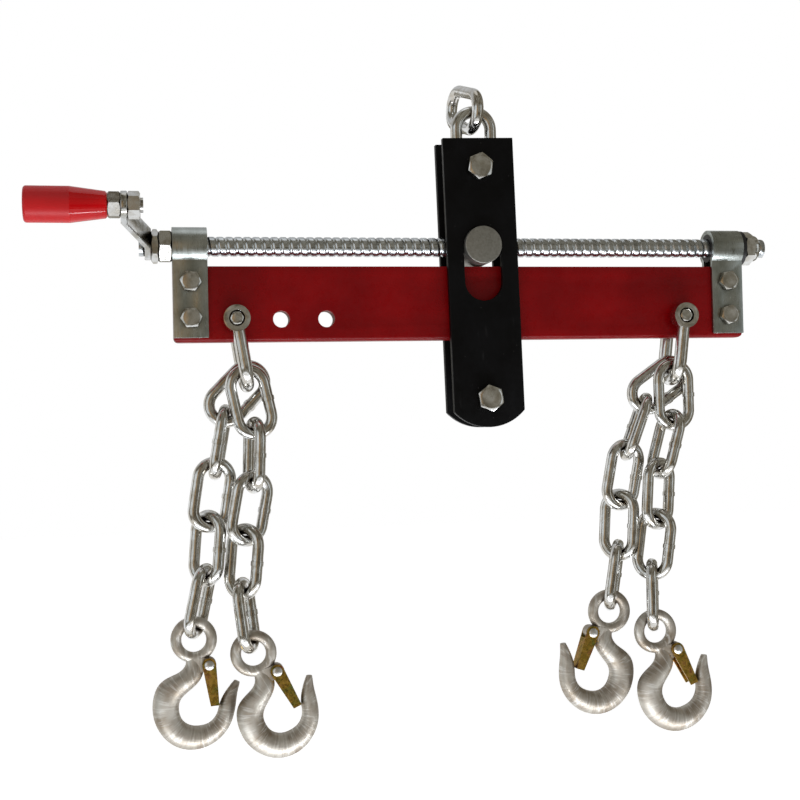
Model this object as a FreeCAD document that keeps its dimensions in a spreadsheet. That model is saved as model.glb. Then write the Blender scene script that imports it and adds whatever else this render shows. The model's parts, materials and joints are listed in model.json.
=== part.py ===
import FreeCAD, Part
import math
import os
import re

import Sketcher

Vector = FreeCAD.Vector
Rotation = FreeCAD.Rotation
Placement = FreeCAD.Placement

X_AXIS = Vector(1, 0, 0)
Y_AXIS = Vector(0, 1, 0)
Z_AXIS = Vector(0, 0, 1)

# Driving dimensions: name, value in millimetres or degrees, meaning
DIMENSIONS = (
    ("beam_length", 422.0, "flat bar of the beam, end to end"),
    ("beam_height", 53.0, "flat bar of the beam, upright"),
    ("beam_thickness", 12.0, "flat bar of the beam, front to back"),
    ("beam_offset", -9.0, "middle of the beam from the carriage, along the beam"),
    ("hole_diameter", 11.8, "shackle holes and spare holes in the beam"),
    ("hole_rise", 15.8, "holes above the bottom edge of the beam"),
    ("left_hole_distance", 43.0, "left shackle hole from the left end of the beam"),
    ("right_hole_distance", 49.5, "right shackle hole from the right end of the beam"),
    ("hole_spacing", 32.0, "from the left shackle hole to the spare holes"),
    ("strap_width", 24.0, "end strap along the beam"),
    ("strap_foot", 3.0, "bottom edge of the beam below the straps"),
    ("strap_thickness", 3.0, "sheet of the end strap"),
    ("strap_bolt_low", 16.8, "lower strap bolt above the bottom edge"),
    ("strap_bolt_high", 42.2, "upper strap bolt above the bottom edge"),
    ("strap_bolt_diameter", 8.0, "shank of the strap bolts"),
    ("strap_bolt_flats", 13.0, "head of the strap bolts across flats"),
    ("strap_bolt_head", 5.3, "head height of the strap bolts"),
    ("strap_nut_height", 6.5, "nuts of the strap bolts"),
    ("screw_diameter", 14.0, "lead screw over its thread"),
    ("screw_lead", 6.35, "travel for one turn of the crank"),
    ("screw_rise", 67.5, "screw axis above the bottom edge of the beam"),
    ("screw_left_tail", 4.0, "screw end beyond the crank arm"),
    ("screw_right_tail", 5.0, "screw end beyond the lock nut"),
    ("shaft_clearance", 0.08, "radial gap of the running fits"),
    ("end_play", 0.2, "gap between a turning face and the fixed face beside it"),
    ("bush_diameter", 21.0, "bush in the loop of the strap"),
    ("bush_flange_diameter", 26.0, "flange of the bush"),
    ("bush_flange", 3.0, "flange thickness of the bush"),
    ("screw_nut_flats", 21.0, "nuts beside the crank arm across flats"),
    ("screw_nut_height", 9.0, "thick nut beside the left bush"),
    ("jam_nut_height", 5.0, "thin nut against the crank arm"),
    ("lock_nut_flats", 22.0, "lock nut on the right end across flats"),
    ("lock_nut_height", 12.0, "lock nut on the right end"),
    ("crank_radius", 42.0, "screw axis to grip axis"),
    ("crank_turn", 57.0, "crank arm from upright towards the front"),
    ("arm_width", 19.0, "flat bar of the crank arm"),
    ("arm_thickness", 4.5, "flat bar of the crank arm"),
    ("arm_offset", 15.5, "joggle of the crank arm along the screw"),
    ("grip_length", 54.0, "hand grip"),
    ("grip_body_length", 30.0, "straight part of the hand grip"),
    ("grip_diameter", 24.4, "straight part of the hand grip"),
    ("grip_neck_diameter", 18.0, "narrow end of the hand grip"),
    ("grip_edge", 2.0, "rounding at the outer end of the grip"),
    ("grip_bolt_diameter", 10.0, "bolt that carries the grip"),
    ("grip_bolt_cover", 4.0, "grip material over the end of its bolt"),
    ("grip_nut_flats", 16.5, "nuts of the grip bolt across flats"),
    ("grip_nut_height", 8.5, "nuts of the grip bolt"),
    ("trunnion_diameter", 27.0, "round trunnion nut in the slots"),
    ("trunnion_length", 36.0, "trunnion nut, front to back"),
    ("slot_clearance", 0.4, "gap round the trunnion in its slot"),
    ("slot_travel", 26.0, "free length of the slot below the trunnion"),
    ("plate_width", 52.0, "carriage side plate"),
    ("plate_thickness", 5.0, "carriage side plate"),
    ("plate_gap", 18.0, "between the two side plates"),
    ("carriage_lean", -1.3, "carriage swung about its trunnion"),
    ("plate_top_rise", 77.5, "top edge of the plates above the screw axis"),
    ("plate_bottom_drop", 131.0, "bottom of the plates below the screw axis"),
    ("plate_arc_radius", 35.0, "round bottom edge of the plates"),
    ("top_bolt_rise", 56.5, "lift bolt above the screw axis"),
    ("bottom_bolt_drop", 110.2, "roller bolt below the screw axis"),
    ("carriage_bolt_diameter", 10.0, "shank of the carriage bolts"),
    ("carriage_bolt_flats", 17.0, "head of the carriage bolts across flats"),
    ("carriage_bolt_head", 6.4, "head height of the carriage bolts"),
    ("carriage_nut_height", 8.0, "nuts of the carriage bolts"),
    ("bolt_tail", 2.0, "bolt end beyond its nut"),
    ("roller_diameter", 34.0, "roller between the plates"),
    ("roller_edge", 1.0, "chamfer of the roller"),
    ("lift_wire", 8.5, "wire of the two lift links"),
    ("lift_inner_length", 44.0, "inside length of the lift links"),
    ("lift_outer_width", 34.0, "outside width of the lift links"),
    ("lift_turn", 8.0, "upper lift link turned about the upright"),
    ("lift_tilt", -72.0, "upper lift link lying to the back"),
    ("lift_roll", 92.0, "upper lift link turned about its length"),
    ("chain_wire", 8.0, "wire of the chain links"),
    ("chain_inner_length", 38.0, "inside length of the chain links"),
    ("chain_outer_width", 32.0, "outside width of the chain links"),
    ("weld_height", 0.5, "weld bead standing out of the wire"),
    ("weld_length", 3.0, "weld bead along the wire"),
    ("chain_clearance", 0.5, "gap between linked wires"),
    ("shackle_wire", 9.5, "wire of the shackles"),
    ("shackle_jaw", 20.5, "between the ears of a shackle"),
    ("shackle_inner_length", 42.0, "pin axis to the inside of the bow"),
    ("shackle_ear_diameter", 18.5, "ears of the shackles"),
    ("left_shackle_lean", -9.0, "left shackle swung inwards"),
    ("right_shackle_lean", 7.0, "right shackle swung inwards"),
    ("pin_diameter", 11.1, "shackle pins"),
    ("pin_head_flats", 15.0, "head of the shackle pins across flats"),
    ("pin_head", 6.0, "head of the shackle pins"),
    ("front_lane", -4.2, "front chain on its shackle, from the middle"),
    ("rear_lane", 5.7, "rear chain on its shackle, from the middle"),
    ("hook_eye_diameter", 32.4, "hook eye, outside"),
    ("hook_eye_wire", 7.6, "ring of the hook eye"),
    ("throat_diameter", 27.0, "inside of the hook"),
    ("throat_drop", 46.5, "middle of the throat below the eye"),
    ("throat_side", 4.5, "middle of the throat to the side of the eye"),
    ("hook_neck_width", 13.5, "shank of the hook below its eye"),
    ("hook_thickness", 16.5, "hook at its belly, front to back"),
    ("lug_diameter", 10.0, "lug that carries the latch"),
    ("lug_width", 8.0, "lug that carries the latch, front to back"),
    ("lug_side", 10.8, "latch rivet to the side of the eye"),
    ("lug_drop", 17.4, "latch rivet below the eye"),
    ("rivet_diameter", 5.0, "shank of the latch rivet"),
    ("rivet_head_diameter", 7.0, "heads of the latch rivet"),
    ("rivet_head", 1.6, "head height of the latch rivet"),
    ("latch_length", 28.5, "latch, from its rivet to its end"),
    ("latch_lean", 5.3, "closed latch from straight down"),
    ("latch_head_width", 9.6, "latch round its rivet"),
    ("latch_end_width", 6.0, "free end of the latch"),
    ("latch_sheet", 1.2, "sheet of the latch"),
    ("latch_clearance", 0.3, "gap between the latch and the lug"),
)

# Chain strands in their photographed lay, five links from the shackle to the hook.
# lean: degrees from straight down, towards +X; roll: degrees about the link's length
STRANDS = (
    {
        "name": "left_rear", "lane": "rear", "rise": 0.65, "hook_roll": 0.0,
        "lean": (-44.6, -10.3, -9.1, -5.0, -12.4), "hook_lean": -1.8,
        "roll": (0.0, -99.1, 16.1, -48.3, 65.6),
    },
    {
        "name": "left_front", "lane": "front", "rise": 0.03, "hook_roll": 0.0,
        "lean": (11.8, -2.2, -11.0, -5.5, 6.9), "hook_lean": 19.7,
        "roll": (4.5, -75.3, 25.4, -44.4, 67.1),
    },
    {
        "name": "right_rear", "lane": "rear", "rise": 0.56, "hook_roll": 180.0,
        "lean": (-55.5, -21.4, -11.3, -3.9, -9.7), "hook_lean": -12.9,
        "roll": (0.0, 80.1, 14.5, -49.6, 64.1),
    },
    {
        "name": "right_front", "lane": "front", "rise": 0.03, "hook_roll": 0.0,
        "lean": (0.2, -16.0, -4.0, -8.4, -0.1), "hook_lean": 16.9,
        "roll": (4.6, -77.5, 28.2, -47.7, 66.1),
    },
)

# Run of the hook from its shank to its tip: outer edge X and Z and inner edge X and Z from the
# middle of the throat as shares of the throat's radius, and the share of the full thickness
HOOK_RUN = (
    (-1.47, 1.56, -0.05, 1.26, 0.88),
    (-2.21, 0.93, -0.84, 0.52, 0.97),
    (-2.38, -0.30, -1.04, -0.11, 1.0),
    (-1.96, -1.37, -0.89, -0.63, 1.0),
    (-1.05, -2.10, -0.48, -0.95, 1.0),
    (0.15, -2.17, 0.06, -1.0, 1.0),
    (1.05, -1.70, 0.55, -0.84, 0.95),
    (1.62, -0.96, 0.89, -0.42, 0.86),
    (1.86, -0.10, 1.03, 0.08, 0.74),
    (1.93, 0.48, 1.21, 0.52, 0.6),
    (2.0, 0.87, 1.49, 0.95, 0.44),
    (2.07, 1.2, 1.79, 1.31, 0.29),
)
OVAL_STEPS = 16

doc = FreeCAD.newDocument("EngineLoadLeveler")
sheet = doc.addObject("Spreadsheet::Sheet", "Dims")
for row, (alias, value, meaning) in enumerate(DIMENSIONS, start=1):
    sheet.set(f"A{row}", meaning)
    sheet.set(f"B{row}", str(value))
    sheet.setAlias(f"B{row}", alias)
doc.recompute()

ALIASES = {alias for alias, _, _ in DIMENSIONS}
NODES = {}


def size(alias):
    """Value of one driving dimension."""
    return float(sheet.get(alias))


def formula(text):
    """Expression whose words are sheet aliases."""
    def named(match):
        word = match.group(0)
        return f"Dims.{word}" if word in ALIASES else word
    return re.sub(r"[a-z_]+", named, text)


def bind(thing, **texts):
    """Bind properties to formulas; x, y and z stand for the placement's base."""
    for key, text in texts.items():
        name = f"Placement.Base.{key}" if key in ("x", "y", "z") else key
        thing.setExpression(name, formula(text))


def turned(axis):
    """Rotation that points a primitive's own +Z along the named axis."""
    turns = {
        "X": Rotation(Y_AXIS, 90),
        "-X": Rotation(Y_AXIS, -90),
        "Y": Rotation(X_AXIS, -90),
        "-Y": Rotation(X_AXIS, 90),
        "Z": Rotation(),
    }
    return turns[axis]


def box(name, length, width, height, x, y, z):
    """Box with its lowest corner at x, y, z."""
    thing = doc.addObject("Part::Box", name)
    bind(thing, Length=length, Width=width, Height=height, x=x, y=y, z=z)
    return thing


def cylinder(name, diameter, height, axis, x="0", y="0", z="0"):
    """Round bar from x, y, z along an axis."""
    thing = doc.addObject("Part::Cylinder", name)
    thing.Placement.Rotation = turned(axis)
    bind(thing, Radius=f"({diameter}) / 2", Height=height, x=x, y=y, z=z)
    return thing


def cone(name, start, end, height, axis, x="0", y="0", z="0"):
    """Tapered bar from x, y, z along an axis, given by its two diameters."""
    thing = doc.addObject("Part::Cone", name)
    thing.Placement.Rotation = turned(axis)
    bind(thing, Radius1=f"({start}) / 2", Radius2=f"({end}) / 2", Height=height, x=x, y=y, z=z)
    return thing


def hexagon(name, flats, height, axis, x="0", y="0", z="0"):
    """Hexagon bar with corners turned off at its far end, as on a bolt head or nut."""
    bar = doc.addObject("Part::Prism", f"{name}_bar")
    bar.Polygon = 6
    bar.Placement.Rotation = turned(axis)
    bind(bar, Circumradius=f"({flats}) / 2 / cos(30)", Height=height, x=x, y=y, z=z)
    corner_trim = cone(
        f"{name}_trim", f"({flats}) * 0.94 + 2 * ({height}) * tan(60)", f"({flats}) * 0.94",
        height, axis, x, y, z)
    return common(name, bar, corner_trim)


def fuse(name, *things):
    """Union of several things."""
    thing = doc.addObject("Part::MultiFuse", name)
    thing.Refine = False
    thing.Shapes = list(things)
    return thing


def cut(name, base, *tools):
    """Base less its tools."""
    thing = doc.addObject("Part::Cut", name)
    thing.Refine = False
    thing.Base = base
    thing.Tool = tools[0] if len(tools) == 1 else fuse(f"{name}_tools", *tools)
    return thing


def common(name, first, second):
    """What two things share."""
    thing = doc.addObject("Part::MultiCommon", name)
    thing.Refine = False
    thing.Shapes = [first, second]
    return thing


def group(name, *things):
    """Several separate solids kept in one node."""
    thing = doc.addObject("Part::Compound", name)
    thing.Links = list(things)
    return thing


def shaped(name, shape):
    """Piece whose form is worked out below from the sheet's sizes."""
    thing = doc.addObject("Part::Feature", name)
    thing.Shape = shape
    return thing


def node(label, thing, place):
    """Name a finished piece and put it in its place."""
    thing.Label = label
    thing.Placement = place
    NODES[label] = thing


def at(x=0.0, y=0.0, z=0.0):
    """Placement that only shifts."""
    return Placement(Vector(x, y, z), Rotation())


def turn(axis, degrees):
    """Placement that only turns."""
    return Placement(Vector(), Rotation(axis, degrees))


# Places that several pieces share, in the frame of the beam: X from the carriage,
# Y from the middle of the bar, Z from its bottom edge
screw_z = size("screw_rise")
lift_reach = size("lift_inner_length") - size("lift_wire") / 2 - size("chain_clearance")
lift_rise = (size("lift_inner_length") + size("lift_wire") / 2 - size("carriage_bolt_diameter") / 2
             - size("chain_clearance"))
beam_left = size("beam_offset") - size("beam_length") / 2
beam_right = size("beam_offset") + size("beam_length") / 2



def lift_frame():
    """Wire of the lower lift link at its top, over the leaning carriage."""
    carriage = at(0, 0, screw_z) * turn(Y_AXIS, size("carriage_lean"))
    upright = turn(Y_AXIS, -size("carriage_lean"))
    return carriage * at(0, 0, size("top_bolt_rise")) * upright * at(0, 0, lift_rise)


# The row's origin is the inside top of the upper lift link
LIFT_TURN = turn(Z_AXIS, size("lift_turn")) * turn(X_AXIS, size("lift_tilt"))
LIFT_POINT = lift_frame() * LIFT_TURN * at(0, 0, lift_reach)
FRAME = at(*(-LIFT_POINT.Base))


def plane_sketch(body, role, name):
    """Sketch on one of the body's own origin planes."""
    sketch = body.newObject("Sketcher::SketchObject", name)
    plane = next(f for f in body.Origin.OriginFeatures if f.Role == role)
    sketch.AttachmentSupport = [(plane, "")]
    sketch.MapMode = "FlatFace"
    return sketch


def constrain(sketch, name, text, *arguments):
    """Dimension of a sketch, bound to a formula."""
    index = sketch.addConstraint(Sketcher.Constraint(*arguments))
    sketch.renameConstraint(index, name)
    sketch.setExpression(f"Constraints.{name}", formula(text))


def draw_rectangle(sketch, width_text, height_text, width, height):
    """Rectangle from the sketch's origin to its upper right."""
    corners = [Vector(0, 0, 0), Vector(width, 0, 0), Vector(width, height, 0), Vector(0, height, 0)]
    for start, end in zip(corners, corners[1:] + corners[:1]):
        sketch.addGeometry(Part.LineSegment(start, end), False)
    for side in range(4):
        sketch.addConstraint(Sketcher.Constraint("Coincident", side, 2, (side + 1) % 4, 1))
        sketch.addConstraint(Sketcher.Constraint("Vertical" if side % 2 else "Horizontal", side))
    sketch.addConstraint(Sketcher.Constraint("Coincident", 0, 1, -1, 1))
    constrain(sketch, "width", width_text, "DistanceX", 0, 1, 0, 2, width)
    constrain(sketch, "height", height_text, "DistanceY", 1, 1, 1, 2, height)


def draw_hole(sketch, name, diameter_text, x_text, y_text, diameter, x, y):
    """Circle placed from the sketch's origin."""
    index = sketch.addGeometry(Part.Circle(Vector(x, y, 0), Z_AXIS, diameter / 2), False)
    constrain(sketch, f"{name}_diameter", diameter_text, "Diameter", index, diameter)
    constrain(sketch, f"{name}_x", x_text, "DistanceX", -1, 1, index, 3, x)
    constrain(sketch, f"{name}_y", y_text, "DistanceY", -1, 1, index, 3, y)


def build_beam():
    """Flat bar with shackle holes, spare holes and strap bolt holes."""
    body = doc.addObject("PartDesign::Body", "BeamBody")
    outline = plane_sketch(body, "XZ_Plane", "BeamOutline")
    draw_rectangle(outline, "beam_length", "beam_height", size("beam_length"), size("beam_height"))
    bar = body.newObject("PartDesign::Pad", "BeamBar")
    bar.Profile = outline
    bar.SideType = "Symmetric"
    bind(bar, Length="beam_thickness")
    doc.recompute()

    holes = plane_sketch(body, "XZ_Plane", "BeamHoles")
    left, right = size("left_hole_distance"), size("right_hole_distance")
    step, length = size("hole_spacing"), size("beam_length")
    rise, strap = size("hole_rise"), size("strap_width")
    load_holes = (
        ("left_hole", "left_hole_distance", left),
        ("spare_hole_a", "left_hole_distance + hole_spacing", left + step),
        ("spare_hole_b", "left_hole_distance + 2 * hole_spacing", left + 2 * step),
        ("right_hole", "beam_length - right_hole_distance", length - right),
    )
    for name, text, x in load_holes:
        draw_hole(holes, name, "hole_diameter", text, "hole_rise", size("hole_diameter"), x, rise)
    for side, text, x in (("left", "strap_width / 2", strap / 2),
                          ("right", "beam_length - strap_width / 2", length - strap / 2)):
        for level in ("low", "high"):
            alias = f"strap_bolt_{level}"
            draw_hole(holes, f"{side}_{level}", "strap_bolt_diameter", text, alias,
                      size("strap_bolt_diameter"), x, size(alias))
    drilled = body.newObject("PartDesign::Pocket", "BeamDrilled")
    drilled.Profile = holes
    drilled.Type = "ThroughAll"
    drilled.SideType = "Symmetric"
    node("lifting_beam", body, FRAME * at(beam_left))


def build_straps():
    """Sheet straps folded over the bushes and bolted through the ends of the beam."""
    leg = "beam_thickness + 2 * strap_thickness"
    loop = "bush_diameter + 2 * strap_thickness"
    bolts, nuts = [], []
    for side, left in (("left", beam_left), ("right", beam_right - size("strap_width"))):
        outside = fuse(
            f"{side}_strap_outside",
            box(f"{side}_strap_legs", "strap_width", leg, "screw_rise - strap_foot", "0", f"-({leg}) / 2",
                "strap_foot"),
            cylinder(f"{side}_strap_loop", loop, "strap_width", "X", z="screw_rise"))
        inside = fuse(
            f"{side}_strap_inside",
            box(f"{side}_strap_gap", "strap_width", "beam_thickness", "screw_rise - strap_foot",
                "0", "-beam_thickness / 2", "strap_foot"),
            cylinder(f"{side}_strap_bore", "bush_diameter", "strap_width", "X", z="screw_rise"))
        drills = [
            cylinder(f"{side}_strap_drill_{level}", "strap_bolt_diameter", leg, "Y",
                     x="strap_width / 2", y=f"-({leg}) / 2", z=f"strap_bolt_{level}")
            for level in ("low", "high")
        ]
        strap = cut(f"{side}_strap_piece", outside, inside, *drills)
        node(f"{side}_strap", strap, FRAME * at(left))
        for level in ("low", "high"):
            place = {"x": f"strap_width / 2 + {left - beam_left}", "z": f"strap_bolt_{level}"}
            name = f"{side}_{level}"
            head = hexagon(f"{name}_strap_head", "strap_bolt_flats", "strap_bolt_head", "-Y",
                           y=f"-({leg}) / 2", **place)
            shank = cylinder(f"{name}_strap_shank", "strap_bolt_diameter",
                             f"{leg} + strap_nut_height + bolt_tail", "Y", y=f"-({leg}) / 2", **place)
            bolts.append(fuse(f"{name}_strap_bolt", head, shank))
            blank = hexagon(f"{name}_strap_nut_blank", "strap_bolt_flats", "strap_nut_height", "Y",
                            y=f"({leg}) / 2", **place)
            bore = cylinder(f"{name}_strap_nut_bore", "strap_bolt_diameter", "strap_nut_height", "Y",
                            y=f"({leg}) / 2", **place)
            nuts.append(cut(f"{name}_strap_nut", blank, bore))
    node("strap_bolts", group("StrapBolts", *bolts), FRAME * at(beam_left))
    node("strap_nuts", group("StrapNuts", *nuts), FRAME * at(beam_left))


def build_bushes():
    """Bushes in the strap loops: a plain one beside the crank, a flanged one at the far end."""
    bushes = []
    ends = (("left", "strap_width", "-X"), ("right", "beam_length - strap_width", "X"))
    for side, inner, axis in ends:
        whole = cylinder(f"{side}_bush_sleeve", "bush_diameter", "strap_width", axis, x=inner)
        if side == "right":
            flange = cylinder("right_bush_flange", "bush_flange_diameter", "bush_flange", axis,
                              x="beam_length")
            whole = fuse("right_bush_whole", whole, flange)
        bore = cylinder(f"{side}_bush_bore", "screw_diameter + 2 * shaft_clearance",
                        "strap_width + bush_flange", axis, x=inner)
        bushes.append(cut(f"{side}_bush", whole, bore))
    node("screw_bushes", group("ScrewBushes", *bushes), FRAME * at(beam_left, 0, screw_z))


def build_screw():
    """Lead screw with its nuts; the rolled thread is left to the finish."""
    left_stack = "end_play + screw_nut_height + jam_nut_height + arm_thickness"
    right_stack = "bush_flange + end_play + lock_nut_height"
    screw = cylinder("ScrewRod", "screw_diameter",
                     f"beam_length + {left_stack} + screw_left_tail + {right_stack} + screw_right_tail",
                     "X", x=f"-({left_stack} + screw_left_tail)")
    node("lead_screw", group("LeadScrew", screw), FRAME * at(beam_left, 0, screw_z))

    stack = "end_play"
    thick = cut("ThickNut",
                hexagon("ThickNutBlank", "screw_nut_flats", "screw_nut_height", "-X", x=f"-({stack})"),
                cylinder("ThickNutBore", "screw_diameter", "screw_nut_height", "-X", x=f"-({stack})"))
    stack += " + screw_nut_height"
    thin = cut("ThinNut",
               hexagon("ThinNutBlank", "screw_nut_flats", "jam_nut_height", "-X", x=f"-({stack})"),
               cylinder("ThinNutBore", "screw_diameter", "jam_nut_height", "-X", x=f"-({stack})"))
    node("crank_nuts", group("CrankNuts", thick, thin), FRAME * at(beam_left, 0, screw_z))

    start = "beam_length + bush_flange + end_play"
    lock = cut("LockNut",
               hexagon("LockNutBlank", "lock_nut_flats", "lock_nut_height", "X", x=start),
               cylinder("LockNutBore", "screw_diameter", "lock_nut_height", "X", x=start))
    node("lock_nut", lock, FRAME * at(beam_left, 0, screw_z))


def crank_frame():
    """Crank frame: X along the screw from the outer face of the thin nut, Z out to the grip."""
    stack = size("end_play") + size("screw_nut_height") + size("jam_nut_height")
    return FRAME * at(beam_left - stack, 0, screw_z) * turn(X_AXIS, size("crank_turn"))


def grip_start():
    """Grip's inner end along the crank frame's X."""
    arm_out = size("arm_thickness") + size("arm_offset")
    return -(arm_out + size("grip_nut_height") + size("end_play"))


def build_crank():
    """Joggled crank arm, with the bolt and nuts that carry the grip."""
    thick, step, reach = size("arm_thickness"), size("arm_offset"), size("crank_radius")
    half = size("arm_width") / 2
    bend_low, bend_high = half * 0.9, reach - half * 0.9
    profile = [
        Vector(0, 0, -half), Vector(0, 0, bend_low), Vector(-step, 0, bend_high),
        Vector(-step, 0, reach + half), Vector(-step - thick, 0, reach + half),
        Vector(-step - thick, 0, bend_high), Vector(-thick, 0, bend_low), Vector(-thick, 0, -half),
    ]
    bar = Part.Face(Part.makePolygon(profile + profile[:1])).extrude(Vector(0, 2 * half, 0))
    bar.translate(Vector(0, -half, 0))
    along = Vector(-1, 0, 0)
    depth = step + 3 * thick
    start = Vector(thick, 0, 0)
    stadium = Part.makeBox(depth, 2 * half, reach, Vector(thick - depth, -half, 0))
    for height in (0, reach):
        stadium = stadium.fuse(Part.makeCylinder(half, depth, start + Vector(0, 0, height), along))
    arm = bar.common(stadium)
    arm = arm.cut(Part.makeCylinder(size("screw_diameter") / 2, depth, start, along))
    arm = arm.cut(Part.makeCylinder(size("grip_bolt_diameter") / 2, depth,
                                    start + Vector(0, 0, reach), along))
    place = crank_frame()
    node("crank_arm", shaped("CrankArm", arm.removeSplitter()), place)

    inner_face = "arm_offset"
    bolt = cylinder("GripBoltRod", "grip_bolt_diameter",
                    "arm_thickness + 2 * grip_nut_height + bolt_tail + end_play"
                    " + grip_length - grip_bolt_cover",
                    "-X", x=f"-({inner_face}) + grip_nut_height + bolt_tail", z="crank_radius")
    node("grip_bolt", group("GripBolt", bolt), place)
    nuts = []
    for name, start_text, axis in (("InnerGripNut", f"-({inner_face})", "X"),
                                   ("OuterGripNut", f"-({inner_face} + arm_thickness)", "-X")):
        blank = hexagon(f"{name}Blank", "grip_nut_flats", "grip_nut_height", axis,
                        x=start_text, z="crank_radius")
        bore = cylinder(f"{name}Bore", "grip_bolt_diameter", "grip_nut_height", axis,
                        x=start_text, z="crank_radius")
        nuts.append(cut(name, blank, bore))
    node("grip_nuts", group("GripNuts", *nuts), place)


def build_grip():
    """Moulded grip turned about its bolt: straight body, shoulder line and tapered neck."""
    length, body = size("grip_length"), size("grip_body_length")
    wide, narrow = size("grip_diameter") / 2, size("grip_neck_diameter") / 2
    edge = size("grip_edge")
    bore = size("grip_bolt_diameter") / 2 + size("shaft_clearance")
    bottom = length - size("grip_bolt_cover") + size("end_play")
    neck = length - body
    inner_edge = edge / 2
    line, slant = Part.LineSegment, edge * (1 - math.sqrt(0.5))

    def corner(start, middle, end):
        return Part.Arc(start, middle, end).toShape()

    def straight(start, end):
        return line(start, end).toShape()

    def point(along, radius):
        return Vector(-along, 0, radius)

    taper = (wide - narrow) / neck
    rise = narrow + inner_edge * taper
    path = [
        straight(point(bottom, 0), point(length, 0)),
        straight(point(length, 0), point(length, wide - edge)),
        corner(point(length, wide - edge), point(length - slant, wide - slant), point(length - edge, wide)),
        straight(point(length - edge, wide), point(neck, wide)),
        straight(point(neck, wide), point(inner_edge, rise)),
        straight(point(inner_edge, rise), point(0, narrow - inner_edge)),
        straight(point(0, narrow - inner_edge), point(0, bore)),
        straight(point(0, bore), point(bottom, bore)),
        straight(point(bottom, bore), point(bottom, 0)),
    ]
    grip = Part.Face(Part.Wire(path)).revolve(Vector(), X_AXIS, 360)
    place = crank_frame() * at(grip_start(), 0, size("crank_radius"))
    node("crank_grip", shaped("CrankGrip", Part.Solid(grip.Shells[0]) if grip.Shells else grip), place)


def carriage_frame():
    """Carriage frame: origin where the trunnion crosses the screw."""
    return FRAME * at(0, 0, screw_z) * turn(Y_AXIS, size("carriage_lean"))


def build_trunnion():
    """Round trunnion nut across the plates, bored through for the screw."""
    round_bar = cylinder("TrunnionBar", "trunnion_diameter", "trunnion_length", "Y",
                         y="-trunnion_length / 2")
    bore = cylinder("TrunnionBore", "screw_diameter + 2 * shaft_clearance", "2 * trunnion_diameter",
                    "X", x="-trunnion_diameter")
    node("trunnion_nut", cut("TrunnionNut", round_bar, bore), FRAME * at(0, 0, screw_z))


def build_plates():
    """Side plates with round bottoms, trunnion slots and bolt holes."""
    height = "plate_top_rise + plate_bottom_drop"
    slot = "trunnion_diameter + 2 * slot_clearance"
    for name, front in (("front", "-plate_gap / 2 - plate_thickness"), ("rear", "plate_gap / 2")):
        bar = box(f"{name}_plate_bar", "plate_width", "plate_thickness", height,
                  "-plate_width / 2", front, "-plate_bottom_drop")
        upper = box(f"{name}_plate_upper", "plate_width", "plate_thickness",
                    "plate_top_rise + plate_bottom_drop - plate_arc_radius",
                    "-plate_width / 2", front, "plate_arc_radius - plate_bottom_drop")
        lower = cylinder(f"{name}_plate_round", "2 * plate_arc_radius", "plate_thickness", "Y",
                         y=front, z="plate_arc_radius - plate_bottom_drop")
        outline = common(f"{name}_plate_outline", bar, fuse(f"{name}_plate_ends", upper, lower))
        tools = [
            cylinder(f"{name}_slot_top", slot, "plate_thickness", "Y", y=front),
            cylinder(f"{name}_slot_bottom", slot, "plate_thickness", "Y", y=front, z="-slot_travel"),
            box(f"{name}_slot_middle", slot, "plate_thickness", "slot_travel",
                f"-({slot}) / 2", front, "-slot_travel"),
            cylinder(f"{name}_lift_hole", "carriage_bolt_diameter", "plate_thickness", "Y",
                     y=front, z="top_bolt_rise"),
            cylinder(f"{name}_roller_hole", "carriage_bolt_diameter", "plate_thickness", "Y",
                     y=front, z="-bottom_bolt_drop"),
        ]
        plate = cut(f"{name}_plate_piece", outline, *tools)
        node(f"{name}_plate", plate, carriage_frame())


def build_carriage_bolts():
    """Lift bolt and roller bolt through both plates, with their nuts."""
    outer = "plate_gap / 2 + plate_thickness"
    bolts, nuts = [], []
    for name, z in (("lift", "top_bolt_rise"), ("roller", "-bottom_bolt_drop")):
        head = hexagon(f"{name}_bolt_head", "carriage_bolt_flats", "carriage_bolt_head", "-Y",
                       y=f"-({outer})", z=z)
        shank = cylinder(f"{name}_bolt_shank", "carriage_bolt_diameter",
                         f"2 * ({outer}) + carriage_nut_height + bolt_tail", "Y", y=f"-({outer})", z=z)
        bolts.append(fuse(f"{name}_bolt", head, shank))
        blank = hexagon(f"{name}_nut_blank", "carriage_bolt_flats", "carriage_nut_height", "Y",
                        y=outer, z=z)
        bore = cylinder(f"{name}_nut_bore", "carriage_bolt_diameter", "carriage_nut_height", "Y",
                        y=outer, z=z)
        nuts.append(cut(f"{name}_nut", blank, bore))
    node("carriage_bolts", group("CarriageBolts", *bolts), carriage_frame())
    node("carriage_nuts", group("CarriageNuts", *nuts), carriage_frame())


def build_roller():
    """Roller on the lower bolt that the beam's bottom edge runs on under load."""
    width = "plate_gap - 2 * end_play"
    middle = cylinder("RollerMiddle", "roller_diameter", f"{width} - 2 * roller_edge", "Y",
                      y=f"roller_edge - ({width}) / 2")
    front = cone("RollerFront", "roller_diameter - 2 * roller_edge", "roller_diameter",
                 "roller_edge", "Y", y=f"-({width}) / 2")
    rear = cone("RollerRear", "roller_diameter", "roller_diameter - 2 * roller_edge",
                "roller_edge", "Y", y=f"({width}) / 2 - roller_edge")
    bore = cylinder("RollerBore", "carriage_bolt_diameter + 2 * shaft_clearance", width, "Y",
                    y=f"-({width}) / 2")
    roller = cut("Roller", fuse("RollerBlank", front, middle, rear), bore)
    node("carriage_roller", roller, carriage_frame() * at(0, 0, -size("bottom_bolt_drop")))


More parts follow.
